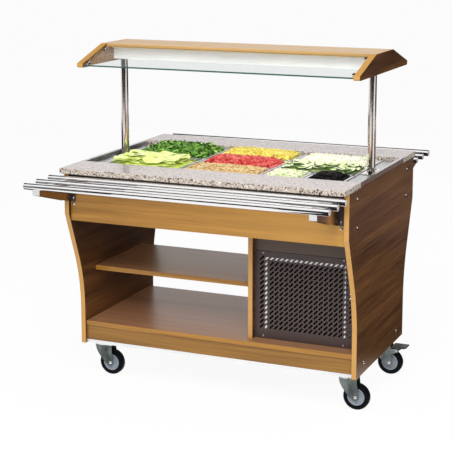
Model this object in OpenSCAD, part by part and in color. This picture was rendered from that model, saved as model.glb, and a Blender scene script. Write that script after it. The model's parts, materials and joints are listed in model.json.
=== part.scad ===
// Mobile salad bar: a wooden cabinet on four castors that carries a chilled well of
// food pans between two granite strips, a lit glass canopy on two posts, and a
// folding tray slide along each long side.
// Frame: X to the right, Y to the back, Z up, origin on the floor under the middle.

/* [Side panels] */
// Width over the outer faces of the two side panels
body_w = 1124; // [1100:1:1180]
// Depth of a side panel at the counter
body_d = 808; // [800:1:830]
// Depth of a side panel at its foot
foot_d = 592; // [584:1:610]
// Height of the side panel tops over the floor
counter_z = 838; // [830:1:870]
// Thickness of every wooden board
board_t = 18; // [14:1:20]
// Height at which the side panels start to narrow
flare_z = 677; // [670:1:690]
// Slope of the narrowing edge from the vertical, in degrees
flare_angle = 21.2; // [20:0.1:23]
// Radius that blends the slope into the foot
flare_r = 606; // [560:1:640]

/* [Cabinet] */
// Depth over the outer faces of the two fascia boards
fascia_d = 778; // [766:1:784]
// Height of the fascia boards' lower edge
fascia_z = 650; // [644:1:654]
// Dark gap between the fascia boards and the granite
fascia_gap = 4; // [2:0.5:8]
// Height of the deck's top face
deck_z = 229; // [220:1:240]
// Front edge of the deck, from the middle
deck_front = 288; // [284:1:291]
// Back edge of the deck, from the middle
deck_back = 264; // [260:1:288]
// Height of the middle shelf's top face
shelf_z = 432; // [380:1:480]
// Front edge of the middle shelf, from the middle
shelf_front = 207; // [180:1:240]
// Back edge of the middle shelf, from the middle
shelf_back = 187; // [170:1:240]
// Left face of the upright partition, from the middle
partition_x = 123.5; // [110:0.5:130]
// Depth of the upright partition
partition_d = 508; // [480:1:520]
// Depth over the faces of the two plinth boards
plinth_d = 568; // [560:1:574]
// Height of the aluminium base frame
base_h = 13; // [10:1:16]
// Width of the base frame's rails
base_rail = 110; // [104:1:130]

/* [Counter] */
// Thickness of the granite strips
granite_t = 20; // [18:1:25]
// Depth over the outer edges of the granite strips
granite_d = 886; // [870:1:890]
// Step from a side panel's face in to the granite's end
granite_inset = 3; // [1:0.5:5]

/* [Well] */
// Width of a full size food pan, which sets the column pitch
pan_w = 325; // [322:1:326]
// Length of a full size food pan, which sets the well's depth
pan_l = 530; // [520:1:540]
// Height of the well's ledge over the side panel tops
ledge_rise = 7; // [5:1:10]
// Width of the raised rim at each end of the well
rim_w = 14; // [10:1:16]
// Depth of the tub below the ledge
tub_depth = 160; // [156:1:162]
// Thickness of the well's stainless sheet
sheet_t = 1.5; // [1:0.1:2]
// Thickness of the foam jacket round the tub
foam_t = 30; // [20:1:30]
// Overlap of a pan's flange on its seat
seat_w = 11; // [10:0.5:12]
// Width of the bars between the pan columns and rows
bar_w = 22; // [18:1:23]
// Height of the bars between the pans
bar_h = 14; // [10:1:20]
// Outer diameter of the evaporator pipe
coil_d = 8; // [6:0.5:8]
// Pitch of the evaporator pipe's runs
coil_pitch = 80; // [60:1:84]
// Number of the evaporator pipe's runs
coil_runs = 6; // [4:1:6]

/* [Pans] */
// Depth of the food pans
pan_depth = 150; // [100:1:150]
// Thickness of the pans' sheet
pan_t = 1; // [0.8:0.1:1.2]
// Height of the turned down edge of a pan's flange
pan_lip = 3; // [2:0.5:4]
// Corner radius of a pan's flange
pan_flange_r = 16; // [12:1:20]
// Corner radius of a pan's body
pan_body_r = 28; // [20:1:34]
// Width of a pan's flange
flange_w = 14; // [13.5:0.5:16]
// Gap between the flanges of neighbouring pans
pan_gap = 1; // [0.6:0.1:1.6]

/* [Canopy] */
// Diameter of the canopy posts
post_d = 30; // [25:1:34]
// Distance of a post from the middle
post_x = 513; // [508:1:522]
// Height of the canopy's underside
hood_z = 1219; // [1180:1:1260]
// Depth of the canopy
hood_d = 594; // [560:1:620]
// Height of the canopy's end boards
hood_h = 76; // [70:1:84]
// Height of the upright front edge of a canopy end board
hood_lip = 16; // [12:1:18]
// Depth of the canopy's flat top
hood_flat = 208; // [190:1:240]
// Width over the canopy's end boards
hood_w = 1116; // [1110:1:1124]
// Thickness of the canopy's end boards
hood_end_t = 24; // [18:1:26]
// Depth of the lamp housing
lamp_box_d = 96; // [80:1:120]
// Height of the lamp housing's lower edge over the canopy's underside
lamp_box_rise = 9; // [6:1:12]
// Diameter of the lamp tube
lamp_d = 26; // [16:1:28]
// Length of the lamp tube
lamp_len = 900; // [800:1:920]
// Thickness of the glass panes
glass_t = 6; // [5:0.5:6]

/* [Tray slides] */
// Diameter of the tray slide tubes
tube_d = 25; // [22:1:25]
// Wall of the tray slide tubes
tube_wall = 1.5; // [1:0.1:2]
// Number of tubes in a tray slide
tube_count = 3; // [2:1:4]
// Pitch of the tray slide tubes
tube_pitch = 86; // [70:1:90]
// Distance of the innermost tube from the middle
tube_first = 450; // [448:1:456]
// Drop of the tube axes below the side panel tops
tube_drop = 17.5; // [17:0.5:20]
// Length of the tray slide tubes
tray_len = 1164; // [1140:1:1176]
// Sideways offset of the tray slides from the middle
tray_shift = -16; // [-20:1:-12]
// Width of a tray arm
arm_w = 29; // [26:1:32]
// Height of a tray arm's tip
arm_tip_h = 23; // [20:1:28]
// Sheet thickness of a tray arm
arm_t = 2; // [1.5:0.1:2.5]
// Drop of the tray hinge below the side panel tops
hinge_drop = 96; // [92:1:100]
// Distance of the tray hinge from the middle
hinge_out = 420; // [419:1:424]
// Diameter of the tray hinge pins
hinge_pin_d = 8; // [6:0.5:9]
// Distance between the two hinge cheeks of a tray slide
cheek_pitch = 1060; // [1056:1:1064]
// Thickness of a hinge cheek
cheek_t = 4; // [3:0.5:5]

/* [Machine bay] */
// Distance of a louvre panel's face from the middle
louvre_out = 228; // [226:1:240]
// Height of the seam between a louvre panel and the plain strip over it
seam_z = 564; // [560:1:580]
// Sheet thickness of the louvre panels
louvre_t = 1.5; // [1:0.1:2]
// Depth of the folded edges of a louvre panel
louvre_fold = 12; // [8:1:14]
// Number of slots in a row
slot_columns = 19; // [10:1:20]
// Number of slots in a column
slot_rows = 15; // [8:1:15]
// Sideways pitch of the slots
slot_pitch_x = 19.3; // [18:0.1:19.6]
// Upright pitch of the slots
slot_pitch_z = 18.6; // [17.6:0.1:18.8]
// Length of a slot
slot_len = 21; // [14:0.5:22]
// Width of a slot
slot_w = 7; // [4:0.5:7]
// Slope of the slots from the horizontal, in degrees
slot_angle = 46; // [38:1:50]
// Depth of the condenser
coil_block_d = 42; // [30:1:50]
// Number of fins in the condenser
fin_count = 26; // [12:1:30]
// Diameter of the condenser fan
fan_d = 220; // [180:1:230]
// Number of blades on the condenser fan
fan_blades = 5; // [3:1:7]
// Diameter of the compressor's shell
compressor_d = 160; // [130:1:170]
// Diameter of the refrigerant pipes
pipe_d = 10; // [8:0.5:12]

/* [Castors] */
// Diameter of a castor wheel
wheel_d = 100; // [96:1:102]
// Width of a castor wheel
wheel_w = 30; // [26:1:32]
// Height of a castor from the floor to the top of its plate
castor_h = 140; // [138:1:144]
// Distance of a castor's swivel axis from the middle, sideways
castor_x = 505; // [498:1:508]
// Distance of a castor's swivel axis from the middle, front to back
castor_y = 215; // [208:1:222]
// Trail of the wheel axle behind the swivel axis
castor_trail = 35; // [33:1:37]
// Thickness of a castor fork's legs
leg_t = 3; // [2:0.5:4]
// Diameter of a wheel's hub disc
hub_d = 66; // [58:1:72]

/* [Screws] */
// Head diameter of the side panel bolts
bolt_d = 15; // [12:1:18]
// Head diameter of the small screws
screw_d = 9; // [7:0.5:10]

/* [Hidden] */
$fn = 48;
cut = 1;
seat_clear = 0.3;
run_clear = 0.05;
wood = "peru";
steel = "silver";
dark_steel = "dimgray";

// Cabinet
panel_out = body_w / 2;
panel_in = panel_out - board_t;
foot_z = castor_h;
bend_y = foot_d / 2 + flare_r * (1 - cos(flare_angle));
bend_z = flare_z - (body_d / 2 - bend_y) / tan(flare_angle);
bend_centre_z = bend_z - flare_r * sin(flare_angle);
bend_steps = 8;
fascia_top = counter_z - fascia_gap;
fascia_out = fascia_d / 2;
base_top = foot_z + base_h;
plinth_inset = 4;
bay_left = partition_x + board_t;
bay_right = panel_in;
bay_mid = (bay_left + bay_right) / 2;

// Well
ledge_z = counter_z + ledge_rise;
rim_z = counter_z + granite_t;
rim_out = panel_out - granite_inset;
ledge_x = rim_out - rim_w;
ledge_clear = 2.5;
ledge_y = pan_l / 2 + ledge_clear;
granite_gap = 0.5;
opening_x = pan_w * 1.5 - seat_w;
opening_y = pan_l / 2 - seat_w;
tub_floor = ledge_z - tub_depth;
tub_x = opening_x + sheet_t;
tub_y = opening_y + sheet_t;
foam_bottom = tub_floor - sheet_t - foam_t;
foam_gap = 8;
third = pan_l / 3;

// One row per pan: column, then the share of the column that it fills, from and to,
// first sideways and then front to back
pan_cells = [
    [-1, -1/2, 1/2, 0, 1/2],
    [-1, -1/2, 1/2, -1/2, 0],
    [0, -1/2, 1/2, 1/6, 1/2],
    [0, -1/2, 1/2, -1/6, 1/6],
    [0, -1/2, 1/2, -1/2, -1/6],
    [1, -1/2, 1/2, 1/6, 1/2],
    [1, -1/2, 1/2, -1/6, 1/6],
    [1, -1/2, 0, -1/2, -1/6],
    [1, 0, 1/2, -1/2, -1/6]];
// Height of each pan's food over its flange
heaps = [26, 30, 18, 20, 12, 16, 14, 10, 16];
function cell_centre(c) = [(c[0] + (c[1] + c[2]) / 2) * pan_w, (c[3] + c[4]) / 2 * pan_l];
function cell_size(c) = [(c[2] - c[1]) * pan_w - pan_gap, (c[4] - c[3]) * pan_l - pan_gap];
flange_z = ledge_z + pan_lip;
pan_floor = flange_z - pan_depth;
brim = 12;
peak_t = 1;

// Canopy
hood_top = hood_z + hood_h;
hood_nose_r = 8;
hood_in = hood_w / 2 - hood_end_t;
slope_run = (hood_d - hood_flat) / 2;
slope_angle = atan((hood_h - hood_lip) / slope_run);
pane_drop = 5;
pane_end = 7;
pane_len = (slope_run - 2 * pane_end) / cos(slope_angle);
lamp_box_z = hood_z + lamp_box_rise;
board_under = hood_top - board_t;
housing_t = 1.5;
housing_gap = 1;
lamp_drop = 2;
socket_w = 10;
socket_over = 1;
lamp_box_x = hood_in - housing_gap;
foot_plate_t = 2;
foot_plate = [44, 124];
foot_plate_r = 6;
foot_screw_y = 48;
foot_screw_d = 5;
post_wall = 2;
clip_w = 12;
clip_l = 18;
clip_t = 3;
clip_inset = 14;
pane_side_gap = 1.5;

// Tray slides
tube_z = counter_z - tube_drop;
tube_last = tube_first + (tube_count - 1) * tube_pitch;
tube_end_t = 2;
vent_d = 4;
saddle_depth = 3;
arm_top = tube_z - tube_d / 2 + saddle_depth;
hinge_z = counter_z - hinge_drop;
hinge_r = 12;
arm_clear = 3;
arm_back = body_d / 2 + arm_clear;
arm_tip = tube_last;
cheek_offset = 4;
cheek_shift = tray_shift + cheek_offset;
cheek_x = [for (s = [-1, 1]) cheek_shift + s * cheek_pitch / 2];
arm_gap = 0.4;
arm_right = cheek_t / 2 + arm_gap + arm_t;
bracket_flange = 20;
bracket_flange_t = 3;
bracket_drop = 18;
bracket_bottom = hinge_z - bracket_drop;
bracket_top_gap = 2;
bracket_top = arm_top - bracket_top_gap;
cheek_r = 9;
cheek_nose = 8;
cheek_rise = 40;
pin_over = 1.5;
neck_clear = 14;

// Machine bay
bay_clear = seat_clear;
louvre_left = bay_left + bay_clear;
louvre_right = bay_right - bay_clear;
louvre_bottom = deck_z + bay_clear;
slot_rise = 10;
slot_mid_z = (deck_z + seam_z) / 2 + slot_rise;
strip_clear = 2;
strip_top = foam_bottom - strip_clear;
seam_gap = 1.5;
// The condenser's bright frame shows behind the second and the last but one column of
// slots and behind the top row
frame_over_left = 10.5;
frame_over_right = -2;
frame_over_top = 4;
condenser_left = slot_x(1) - frame_over_left;
condenser_right = slot_x(slot_columns - 2) + frame_over_right;
condenser_top = slot_z(slot_rows - 1) + frame_over_top;
condenser_foot_h = 12;
condenser_foot_w = 30;
condenser_bottom = deck_z + condenser_foot_h;
condenser_gap = 2.5;
condenser_front = louvre_out - louvre_t - condenser_gap;
condenser_foot_front = louvre_out - louvre_fold - condenser_gap;
condenser_band = 10;
condenser_side_band = 17;
condenser_mid = [(condenser_left + condenser_right) / 2, (condenser_top + condenser_bottom) / 2];
fan_gap = 26;
fan_y = -condenser_front + coil_block_d + fan_gap;
fan_hub_d = 54;
fan_hub_l = 26;
fan_shaft_d = 8;
fan_shaft_in = 4;
fan_tilt = 24;
blade_w = 46;
blade_t = 2;
motor_d = 84;
motor_l = 56;
motor_gap = 4;
motor_z = condenser_mid[1];
carrier_t = 4;
carrier_w = 10;
carrier_rise = 28;
motor_tail = 16;
carrier_back = fan_y + fan_hub_l + motor_gap + motor_l - motor_tail;
fin_t = 1;
fin_inset = 3;
pipe_rows = 6;
compressor_y = 90;
compressor_h = 190;
compressor_shift = 20;
compressor_foot_h = 14;
compressor_foot_d = 24;
compressor_foot_share = 0.38;
compressor_plate_t = 3;
compressor_plate_over = 6;
dome_share = 0.3;
function slot_x(i) = bay_mid + (i - (slot_columns - 1) / 2) * slot_pitch_x;
function slot_z(i) = slot_mid_z + (i - (slot_rows - 1) / 2) * slot_pitch_z;

// Controls, on the back of the machine bay
control_size = [120, 14, 54];
control_left = bay_left + 40;
control_z = (seam_z + strip_top) / 2;
control_y = louvre_out;
window_size = [52, 22];
window_in = [12, 16];
window_depth = 2;
rocker_size = [22, 10, 14];
rocker_in = 96;
rocker_x = control_left + rocker_in;
rocker_back = 3;
rocker_pin_d = 2;
rocker_pin_in = 4;
rocker_y = control_y + control_size[1] - rocker_pin_in;
rocker_tilt = 8;
rocker_face = 6.5;
rocker_r = 6.9;
gland_in = 60;
gland_x = bay_right - gland_in;
gland_nut = [24, 6];
gland_neck = [17, 22];
gland_bore_d = 8;
gland_floor = 2;

// Castors
axle_z = wheel_d / 2;
plate_size = [100, 85, 3];
plate_r = 8;
race_d = 64;
race_h = 6;
race_gap = 1.5;
crown_top = castor_h - plate_size[2] - race_h - race_gap;
crown_d = 60;
crown_h = 8;
leg_top = crown_top - crown_h;
bridge_t = 5;
bridge_z = leg_top - bridge_t;
kingpin_d = 12;
axle_d = 8;
fork_clear = 3;
fork_in = wheel_w / 2 + fork_clear;
fork_out = fork_in + leg_t;
axle_boss_r = 13;
tyre_t = (wheel_d - hub_d) / 2;
brake_back = 28;
brake_rise = 51;
brake_x = castor_trail + brake_back;
brake_z = axle_z + brake_rise;
brake_hub_d = 13;
brake_pin_d = 5;
ear_r = 8;
brake_pin_over = 1.5;
leg_front = 29;
leg_back = 39;
// The leg's front edge, as distance from the swivel axis and height over the axle
leg_edge = [[10, 2.5], [1, 11], [-8, 23], [-18, 37], [-25, 51], [-28, 64]];
pedal_top = 19;
pedal_reach = 41;
pedal_back = 20;
pedal_w = 46;

// A box between two opposite corners
module span(low, high)
    translate(low)
        cube(high - low);

// A flat plate with round corners, centred in X and Y
module plate(size, r, h)
    linear_extrude(h) {
        square([size[0] - 2 * r, size[1]], center = true);
        square([size[0], size[1] - 2 * r], center = true);
        for (x = [-1, 1], y = [-1, 1])
            translate([x * (size[0] / 2 - r), y * (size[1] / 2 - r)])
                circle(r);
    }

// A profile drawn in depth and height, pushed along X from x to x + w
module along_x(x, w)
    translate([x, 0, 0])
        rotate([90, 0, 90])
            linear_extrude(w)
                children();

// A cylinder along X, or along Y
module rod_x(d, x0, x1, y, z)
    translate([x0, y, z])
        rotate([0, 90, 0])
            cylinder(d = d, h = x1 - x0);

module rod_y(d, y0, y1, x, z)
    translate([x, y0, z])
        rotate([-90, 0, 0])
            cylinder(d = d, h = y1 - y0);

// A screw with a domed head on z = 0 and its shank below
module dome_screw(head_d, shank_d, shank_l) {
    head_h = head_d * 0.32;
    ball_r = (head_d * head_d / 4 + head_h * head_h) / (2 * head_h);
    rotate_extrude()
        intersection() {
            translate([0, head_h - ball_r])
                circle(ball_r);
            square([head_d, head_h + cut]);
        }
    if (shank_l > 0)
        translate([0, 0, -shank_l])
            cylinder(d = shank_d, h = shank_l + head_h / 2);
}

// ---- Cabinet ----

// The side panels' bolts, as depth and height, and how far they sit in from the edges
top_bolt_in = [91, 31];
low_bolt_in = [94, 135];
foot_bolt_in = [89, 40];
panel_bolts = [for (s = [-1, 1]) each [
    [s * (body_d / 2 - top_bolt_in[0]), counter_z - top_bolt_in[1]],
    [s * (body_d / 2 - low_bolt_in[0]), counter_z - low_bolt_in[1]],
    [s * (foot_d / 2 - foot_bolt_in[0]), foot_z + foot_bolt_in[1]]]];
bolt_shank_d = 6;
bolt_shank_l = board_t - 2;

function half_outline() = concat(
    [[body_d / 2, counter_z], [body_d / 2, flare_z]],
    [for (i = [0:bend_steps])
        let (a = flare_angle * (1 - i / bend_steps))
        [foot_d / 2 + flare_r * (1 - cos(a)), bend_centre_z + flare_r * sin(a)]],
    [[foot_d / 2, foot_z]]);

module side_panel_outline() {
    half = half_outline();
    last = len(half) - 1;
    polygon(concat(half, [for (i = [last:-1:0]) [-half[i][0], half[i][1]]]));
}

// Side -1 is the left panel and side 1 the right one
module side_panel(side)
    color(wood)
        difference() {
            along_x(side > 0 ? panel_in : -panel_out, board_t)
                side_panel_outline();
            for (b = panel_bolts)
                rod_x(bolt_shank_d + 2 * run_clear, side > 0 ? panel_out - bolt_shank_l - cut
                    : -panel_out - cut, side > 0 ? panel_out + cut : -panel_out + bolt_shank_l + cut,
                    b[0], b[1]);
        }

module left_side_panel() side_panel(-1);

module right_side_panel() side_panel(1);

module fascia_boards()
    color(wood)
        for (s = [0, 180])
            rotate(s)
                span([-panel_in, -fascia_out, fascia_z], [panel_in, -fascia_out + board_t, fascia_top]);

module bottom_deck()
    color(wood)
        span([-panel_in, -deck_front, deck_z - board_t], [panel_in, deck_back, deck_z]);

module plinth_boards()
    color(wood) {
        span([-panel_in, -plinth_d / 2, base_top], [panel_in, -plinth_d / 2 + board_t, deck_z - board_t]);
        span([-panel_in, deck_back - plinth_inset - board_t, base_top],
            [panel_in, deck_back - plinth_inset, deck_z - board_t]);
    }

module middle_shelf()
    color(wood)
        span([-panel_in, -shelf_front, shelf_z - board_t], [partition_x, shelf_back, shelf_z]);

module partition_panel()
    color(wood)
        span([partition_x, -partition_d / 2, deck_z], [bay_left, partition_d / 2, foam_bottom]);

module base_frame()
    color("gainsboro")
        difference() {
            span([-panel_in, -plinth_d / 2, foot_z], [panel_in, plinth_d / 2, base_top]);
            span([-panel_in + base_rail, -plinth_d / 2 + base_rail, foot_z - cut],
                [panel_in - base_rail, plinth_d / 2 - base_rail, base_top + cut]);
        }

// ---- Counter and well ----

module granite_strips()
    color("rosybrown")
        for (s = [0, 180])
            rotate(s)
                span([-rim_out, -granite_d / 2, counter_z], [rim_out, -ledge_y - granite_gap, rim_z]);

module well_tank()
    color(steel) {
        // Ledge and tub
        difference() {
            union() {
                span([-ledge_x - sheet_t, -ledge_y, ledge_z - sheet_t],
                    [ledge_x + sheet_t, ledge_y, ledge_z]);
                span([-tub_x, -tub_y, tub_floor - sheet_t], [tub_x, tub_y, ledge_z]);
                // Raised rims
                for (s = [0, 180])
                    rotate(s)
                        span([ledge_x, -ledge_y, counter_z], [rim_out, ledge_y, rim_z]);
            }
            span([-opening_x, -opening_y, tub_floor], [opening_x, opening_y, ledge_z + cut]);
            for (s = [0, 180])
                rotate(s)
                    span([ledge_x + sheet_t, -ledge_y - cut, counter_z - cut],
                        [rim_out - sheet_t, ledge_y + cut, rim_z - sheet_t]);
        }
    }

module tank_insulation()
    color("khaki")
        difference() {
            span([-tub_x - foam_t, -tub_y - foam_t, foam_bottom],
                [tub_x + foam_t, tub_y + foam_t, ledge_z - sheet_t - foam_gap]);
            span([-tub_x, -tub_y, tub_floor - sheet_t], [tub_x, tub_y, ledge_z]);
        }

module divider_bars()
    color(steel) {
        for (s = [-1, 1])
            translate([s * pan_w / 2, 0, 0])
                span([-bar_w / 2, -opening_y, ledge_z - bar_h], [bar_w / 2, opening_y, ledge_z]);
        // Cross bar and short bar under the four right hand pans
        span([pan_w / 2 + bar_w / 2, -third / 2 - bar_w / 2, ledge_z - bar_h],
            [opening_x, -third / 2 + bar_w / 2, ledge_z]);
        span([pan_w - bar_w / 2, -opening_y, ledge_z - bar_h],
            [pan_w + bar_w / 2, -third / 2 - bar_w / 2, ledge_z]);
    }

module evaporator_coil() {
    reach = opening_x - coil_pitch;
    first = -(coil_runs - 1) / 2 * coil_pitch;
    color("chocolate")
        translate([0, 0, tub_floor + coil_d / 2 + seat_clear]) {
            for (i = [0:coil_runs - 1])
                rod_x(coil_d, -reach, reach, first + i * coil_pitch, 0);
            for (i = [0:coil_runs - 2])
                translate([(i % 2 == 0 ? 1 : -1) * reach, first + (i + 0.5) * coil_pitch, 0])
                    rotate(i % 2 == 0 ? -90 : 90)
                        rotate_extrude(angle = 180)
                            translate([coil_pitch / 2, 0])
                                circle(d = coil_d);
        }
}

// ---- Pans and food ----

// A pan is a tub with a flat flange and a turned down edge
module pan(i) {
    c = cell_centre(pan_cells[i]);
    s = cell_size(pan_cells[i]);
    rim = [flange_w, flange_w] * 2;
    color(steel)
        translate([c[0], c[1], 0])
            difference() {
                union() {
                    translate([0, 0, ledge_z])
                        plate(s, pan_flange_r, pan_lip);
                    translate([0, 0, pan_floor])
                        plate(s - rim, pan_body_r, pan_depth);
                }
                // Hollow under the flange
                difference() {
                    translate([0, 0, ledge_z - cut])
                        plate(s - [2, 2] * pan_t, pan_flange_r - pan_t, pan_lip - pan_t + cut);
                    translate([0, 0, ledge_z - 2 * cut])
                        plate(s - rim, pan_body_r, pan_lip + 2 * cut);
                }
                translate([0, 0, pan_floor + pan_t])
                    plate(s - rim - [2, 2] * pan_t, pan_body_r - pan_t, pan_depth + cut);
            }
}

// Food stands upright in its pan and ends in a sloping heap
module food(i, tone) {
    c = cell_centre(pan_cells[i]);
    inner = cell_size(pan_cells[i]) - [2, 2] * (flange_w + pan_t + seat_clear);
    r = pan_body_r - pan_t - seat_clear;
    heap = heaps[i];
    slope = 2 * heap;
    color(tone)
        translate([c[0], c[1], 0])
            hull() {
                translate([0, 0, pan_floor + pan_t])
                    plate(inner, r, pan_depth - pan_t - brim, $fn = 32);
                translate([0, 0, flange_z + heap - peak_t])
                    plate(inner - [2, 2] * slope, r, peak_t, $fn = 32);
            }
}

module left_rear_pan() pan(0);
module left_front_pan() pan(1);
module middle_rear_pan() pan(2);
module middle_centre_pan() pan(3);
module middle_front_pan() pan(4);
module right_rear_pan() pan(5);
module right_centre_pan() pan(6);
module right_front_inner_pan() pan(7);
module right_front_outer_pan() pan(8);

module green_lettuce() food(0, "forestgreen");
module iceberg_lettuce() food(1, "yellowgreen");
module yellow_pepper() food(2, "gold");
module tomato_pieces() food(3, "crimson");
module shredded_carrot() food(4, "sandybrown");
module white_onion() food(5, "ivory");
module cucumber_slices() food(6, "olivedrab");
module pale_cabbage() food(7, "palegreen");
module black_olives() food(8, "black");

// ---- Screws ----

module dome_screws()
    color(steel) {
        for (s = [0, 1], b = panel_bolts)
            mirror([s, 0, 0])
                translate([panel_out, b[0], b[1]])
                    rotate([0, 90, 0])
                        dome_screw(bolt_d, bolt_shank_d, bolt_shank_l);
        // Louvre panels
        for (s = [0, 1], x = louvre_screw_x, z = louvre_screw_z)
            mirror([0, s, 0])
                translate([x, -louvre_out, z])
                    rotate([90, 0, 0])
                        dome_screw(screw_d, louvre_screw_d, louvre_t);
        // Tray brackets: a screw in the flange and a bolt in the board below it
        for (s = [0, 1], x = cheek_x)
            mirror([0, s, 0]) {
                translate([x + bracket_screw_x, -fascia_out - bracket_flange_t, bracket_screw_z])
                    rotate([90, 0, 0])
                        dome_screw(screw_d, bracket_screw_d, bracket_flange_t);
                translate([x + bracket_screw_x, -fascia_out, bracket_bolt_z])
                    rotate([90, 0, 0])
                        dome_screw(trim_bolt_d, bracket_screw_d, 0);
            }
        // Feet of the canopy posts
        for (x = [-1, 1], y = [-1, 1])
            translate([x * post_x, y * foot_screw_y, ledge_z + foot_plate_t])
                dome_screw(trim_bolt_d, foot_screw_d, foot_plate_t);
    }

louvre_screw_in = [32, 55];
louvre_screw_x = [louvre_left + louvre_screw_in[0], louvre_right - louvre_screw_in[1]];
louvre_screw_up = [9, 5];
louvre_screw_z = [louvre_bottom + louvre_screw_up[0], seam_z - louvre_screw_up[1]];
louvre_screw_d = 3;
bracket_screw_x = 11;
bracket_screw_d = 4;
bracket_screw_drop = 3;
bracket_screw_z = hinge_z - bracket_screw_drop;
bracket_bolt_drop = 9;
bracket_bolt_z = bracket_bottom - bracket_bolt_drop;
trim_bolt_d = bolt_d - 2;

// ---- Machine bay ----

module slots()
    for (i = [0:slot_columns - 1], k = [0:slot_rows - 1])
        translate([slot_x(i), slot_z(k)])
            rotate(slot_angle)
                square([slot_len, slot_w], center = true);

module louvre_panel() {
    translate([0, -louvre_out + louvre_t, 0])
        rotate([90, 0, 0])
            linear_extrude(louvre_t)
                difference() {
                    translate([louvre_left, louvre_bottom])
                        square([louvre_right - louvre_left, seam_z - louvre_bottom]);
                    slots();
                    for (x = louvre_screw_x, z = louvre_screw_z)
                        translate([x, z])
                            circle(d = louvre_screw_d + 2 * run_clear);
                }
    // Folded edges
    for (x = [louvre_left, louvre_right - louvre_t])
        span([x, -louvre_out, louvre_bottom],
            [x + louvre_t, -louvre_out + louvre_fold, seam_z]);
    for (z = [louvre_bottom, seam_z - louvre_t])
        span([louvre_left, -louvre_out, z],
            [louvre_right, -louvre_out + louvre_fold, z + louvre_t]);
}

module louvre_panels()
    color(dark_steel)
        for (s = [0, 1])
            mirror([0, s, 0])
                louvre_panel();

module louvre_strips() {
    strip_bottom = seam_z + seam_gap;
    color(dark_steel)
        for (s = [0, 1])
            mirror([0, s, 0]) {
                span([louvre_left, -louvre_out, strip_bottom],
                    [louvre_right, -louvre_out + louvre_t, strip_top]);
                for (z = [strip_bottom, strip_top - louvre_t])
                    span([louvre_left, -louvre_out, z],
                        [louvre_right, -louvre_out + louvre_fold, z + louvre_t]);
            }
}

// A shell with a domed top on feet, its terminal box and its two pipes
module compressor() {
    shell_z = deck_z + compressor_foot_h;
    shell_r = compressor_d / 2;
    x = condenser_mid[0] - compressor_shift;
    dome_h = compressor_d * dome_share;
    ball_r = (shell_r * shell_r + dome_h * dome_h) / (2 * dome_h);
    side = shell_z + compressor_h - dome_h;
    suction_out = 22;
    suction_rise = 60;
    pressure_rise = 12;
    suction_x = x + shell_r + suction_out;
    suction_z = shell_z + suction_rise;
    pressure_z = condenser_bottom + pressure_rise;
    pipe_bite = 14;
    plate_r = shell_r + compressor_plate_over;
    terminal_w = 60;
    terminal_rise = 40;
    terminal_h = 70;
    terminal_z = shell_z + terminal_rise;
    terminal_out = 26;
    color("black")
        translate([x, compressor_y, 0]) {
            translate([0, 0, shell_z])
                cylinder(d = compressor_d, h = side - shell_z);
            intersection() {
                translate([0, 0, side])
                    cylinder(d = compressor_d, h = compressor_d);
                translate([0, 0, side + dome_h - ball_r])
                    sphere(ball_r);
            }
            for (a = [-1, 1], b = [-1, 1])
                translate([a, b, 0] * compressor_d * compressor_foot_share + [0, 0, deck_z])
                    cylinder(d = compressor_foot_d, h = compressor_foot_h);
            span([-plate_r, -plate_r, shell_z - compressor_plate_t], [plate_r, plate_r, shell_z]);
            span([-terminal_w / 2, shell_r - pipe_bite, terminal_z],
                [terminal_w / 2, shell_r + terminal_out, terminal_z + terminal_h]);
        }
    // Suction pipe up to the well, and pressure pipe to the condenser
    color("chocolate") {
        rod_x(pipe_d, x + shell_r - pipe_bite, suction_x, compressor_y, suction_z);
        translate([suction_x, compressor_y, suction_z]) {
            sphere(d = pipe_d);
            cylinder(d = pipe_d, h = foam_bottom - suction_z);
        }
        rod_y(pipe_d, -condenser_front + coil_block_d, compressor_y - shell_r + pipe_bite,
            x - shell_r / 2, pressure_z);
    }
}

// A finned block in a bright frame, with the fan's motor held behind it
module condenser() {
    front = -condenser_front;
    back = front + coil_block_d;
    inner = [condenser_left + condenser_side_band, condenser_right - condenser_band];
    low = condenser_bottom + condenser_band;
    high = condenser_top - condenser_band;
    fin_pitch = (inner[1] - inner[0]) / (fin_count + 1);
    pipe_pitch = (high - low) / pipe_rows;
    motor_y = fan_y + fan_hub_l + motor_gap;
    color("gainsboro") {
        difference() {
            span([condenser_left, front, condenser_bottom], [condenser_right, back, condenser_top]);
            span([inner[0], front - cut, low], [inner[1], back + cut, high]);
        }
        // Feet, clear of the louvre panel's lower fold
        for (x = [condenser_left, condenser_right - condenser_foot_w])
            span([x, -condenser_foot_front, deck_z], [x + condenser_foot_w, back, condenser_bottom]);
        // Carrier of the fan motor
        for (z = [motor_z - carrier_rise, motor_z + carrier_rise]) {
            span([condenser_left, back, z - carrier_w / 2],
                [condenser_left + carrier_t, carrier_back, z + carrier_w / 2]);
            span([condenser_left, carrier_back - carrier_t, z - carrier_w / 2],
                [condenser_mid[0], carrier_back, z + carrier_w / 2]);
        }
        // Fins on their pipes
        for (i = [1:fin_count])
            span([inner[0] + i * fin_pitch - fin_t / 2, front + fin_inset, low],
                [inner[0] + i * fin_pitch + fin_t / 2, back - fin_inset, high]);
    }
    color("chocolate")
        for (k = [0:pipe_rows - 1])
            rod_x(pipe_d, inner[0], inner[1], (front + back) / 2, low + (k + 0.5) * pipe_pitch);
    color(dark_steel) {
        rod_y(motor_d, motor_y, motor_y + motor_l, condenser_mid[0], motor_z);
        rod_y(fan_shaft_d, fan_y + fan_shaft_in, motor_y + cut, condenser_mid[0], motor_z);
    }
}

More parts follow.
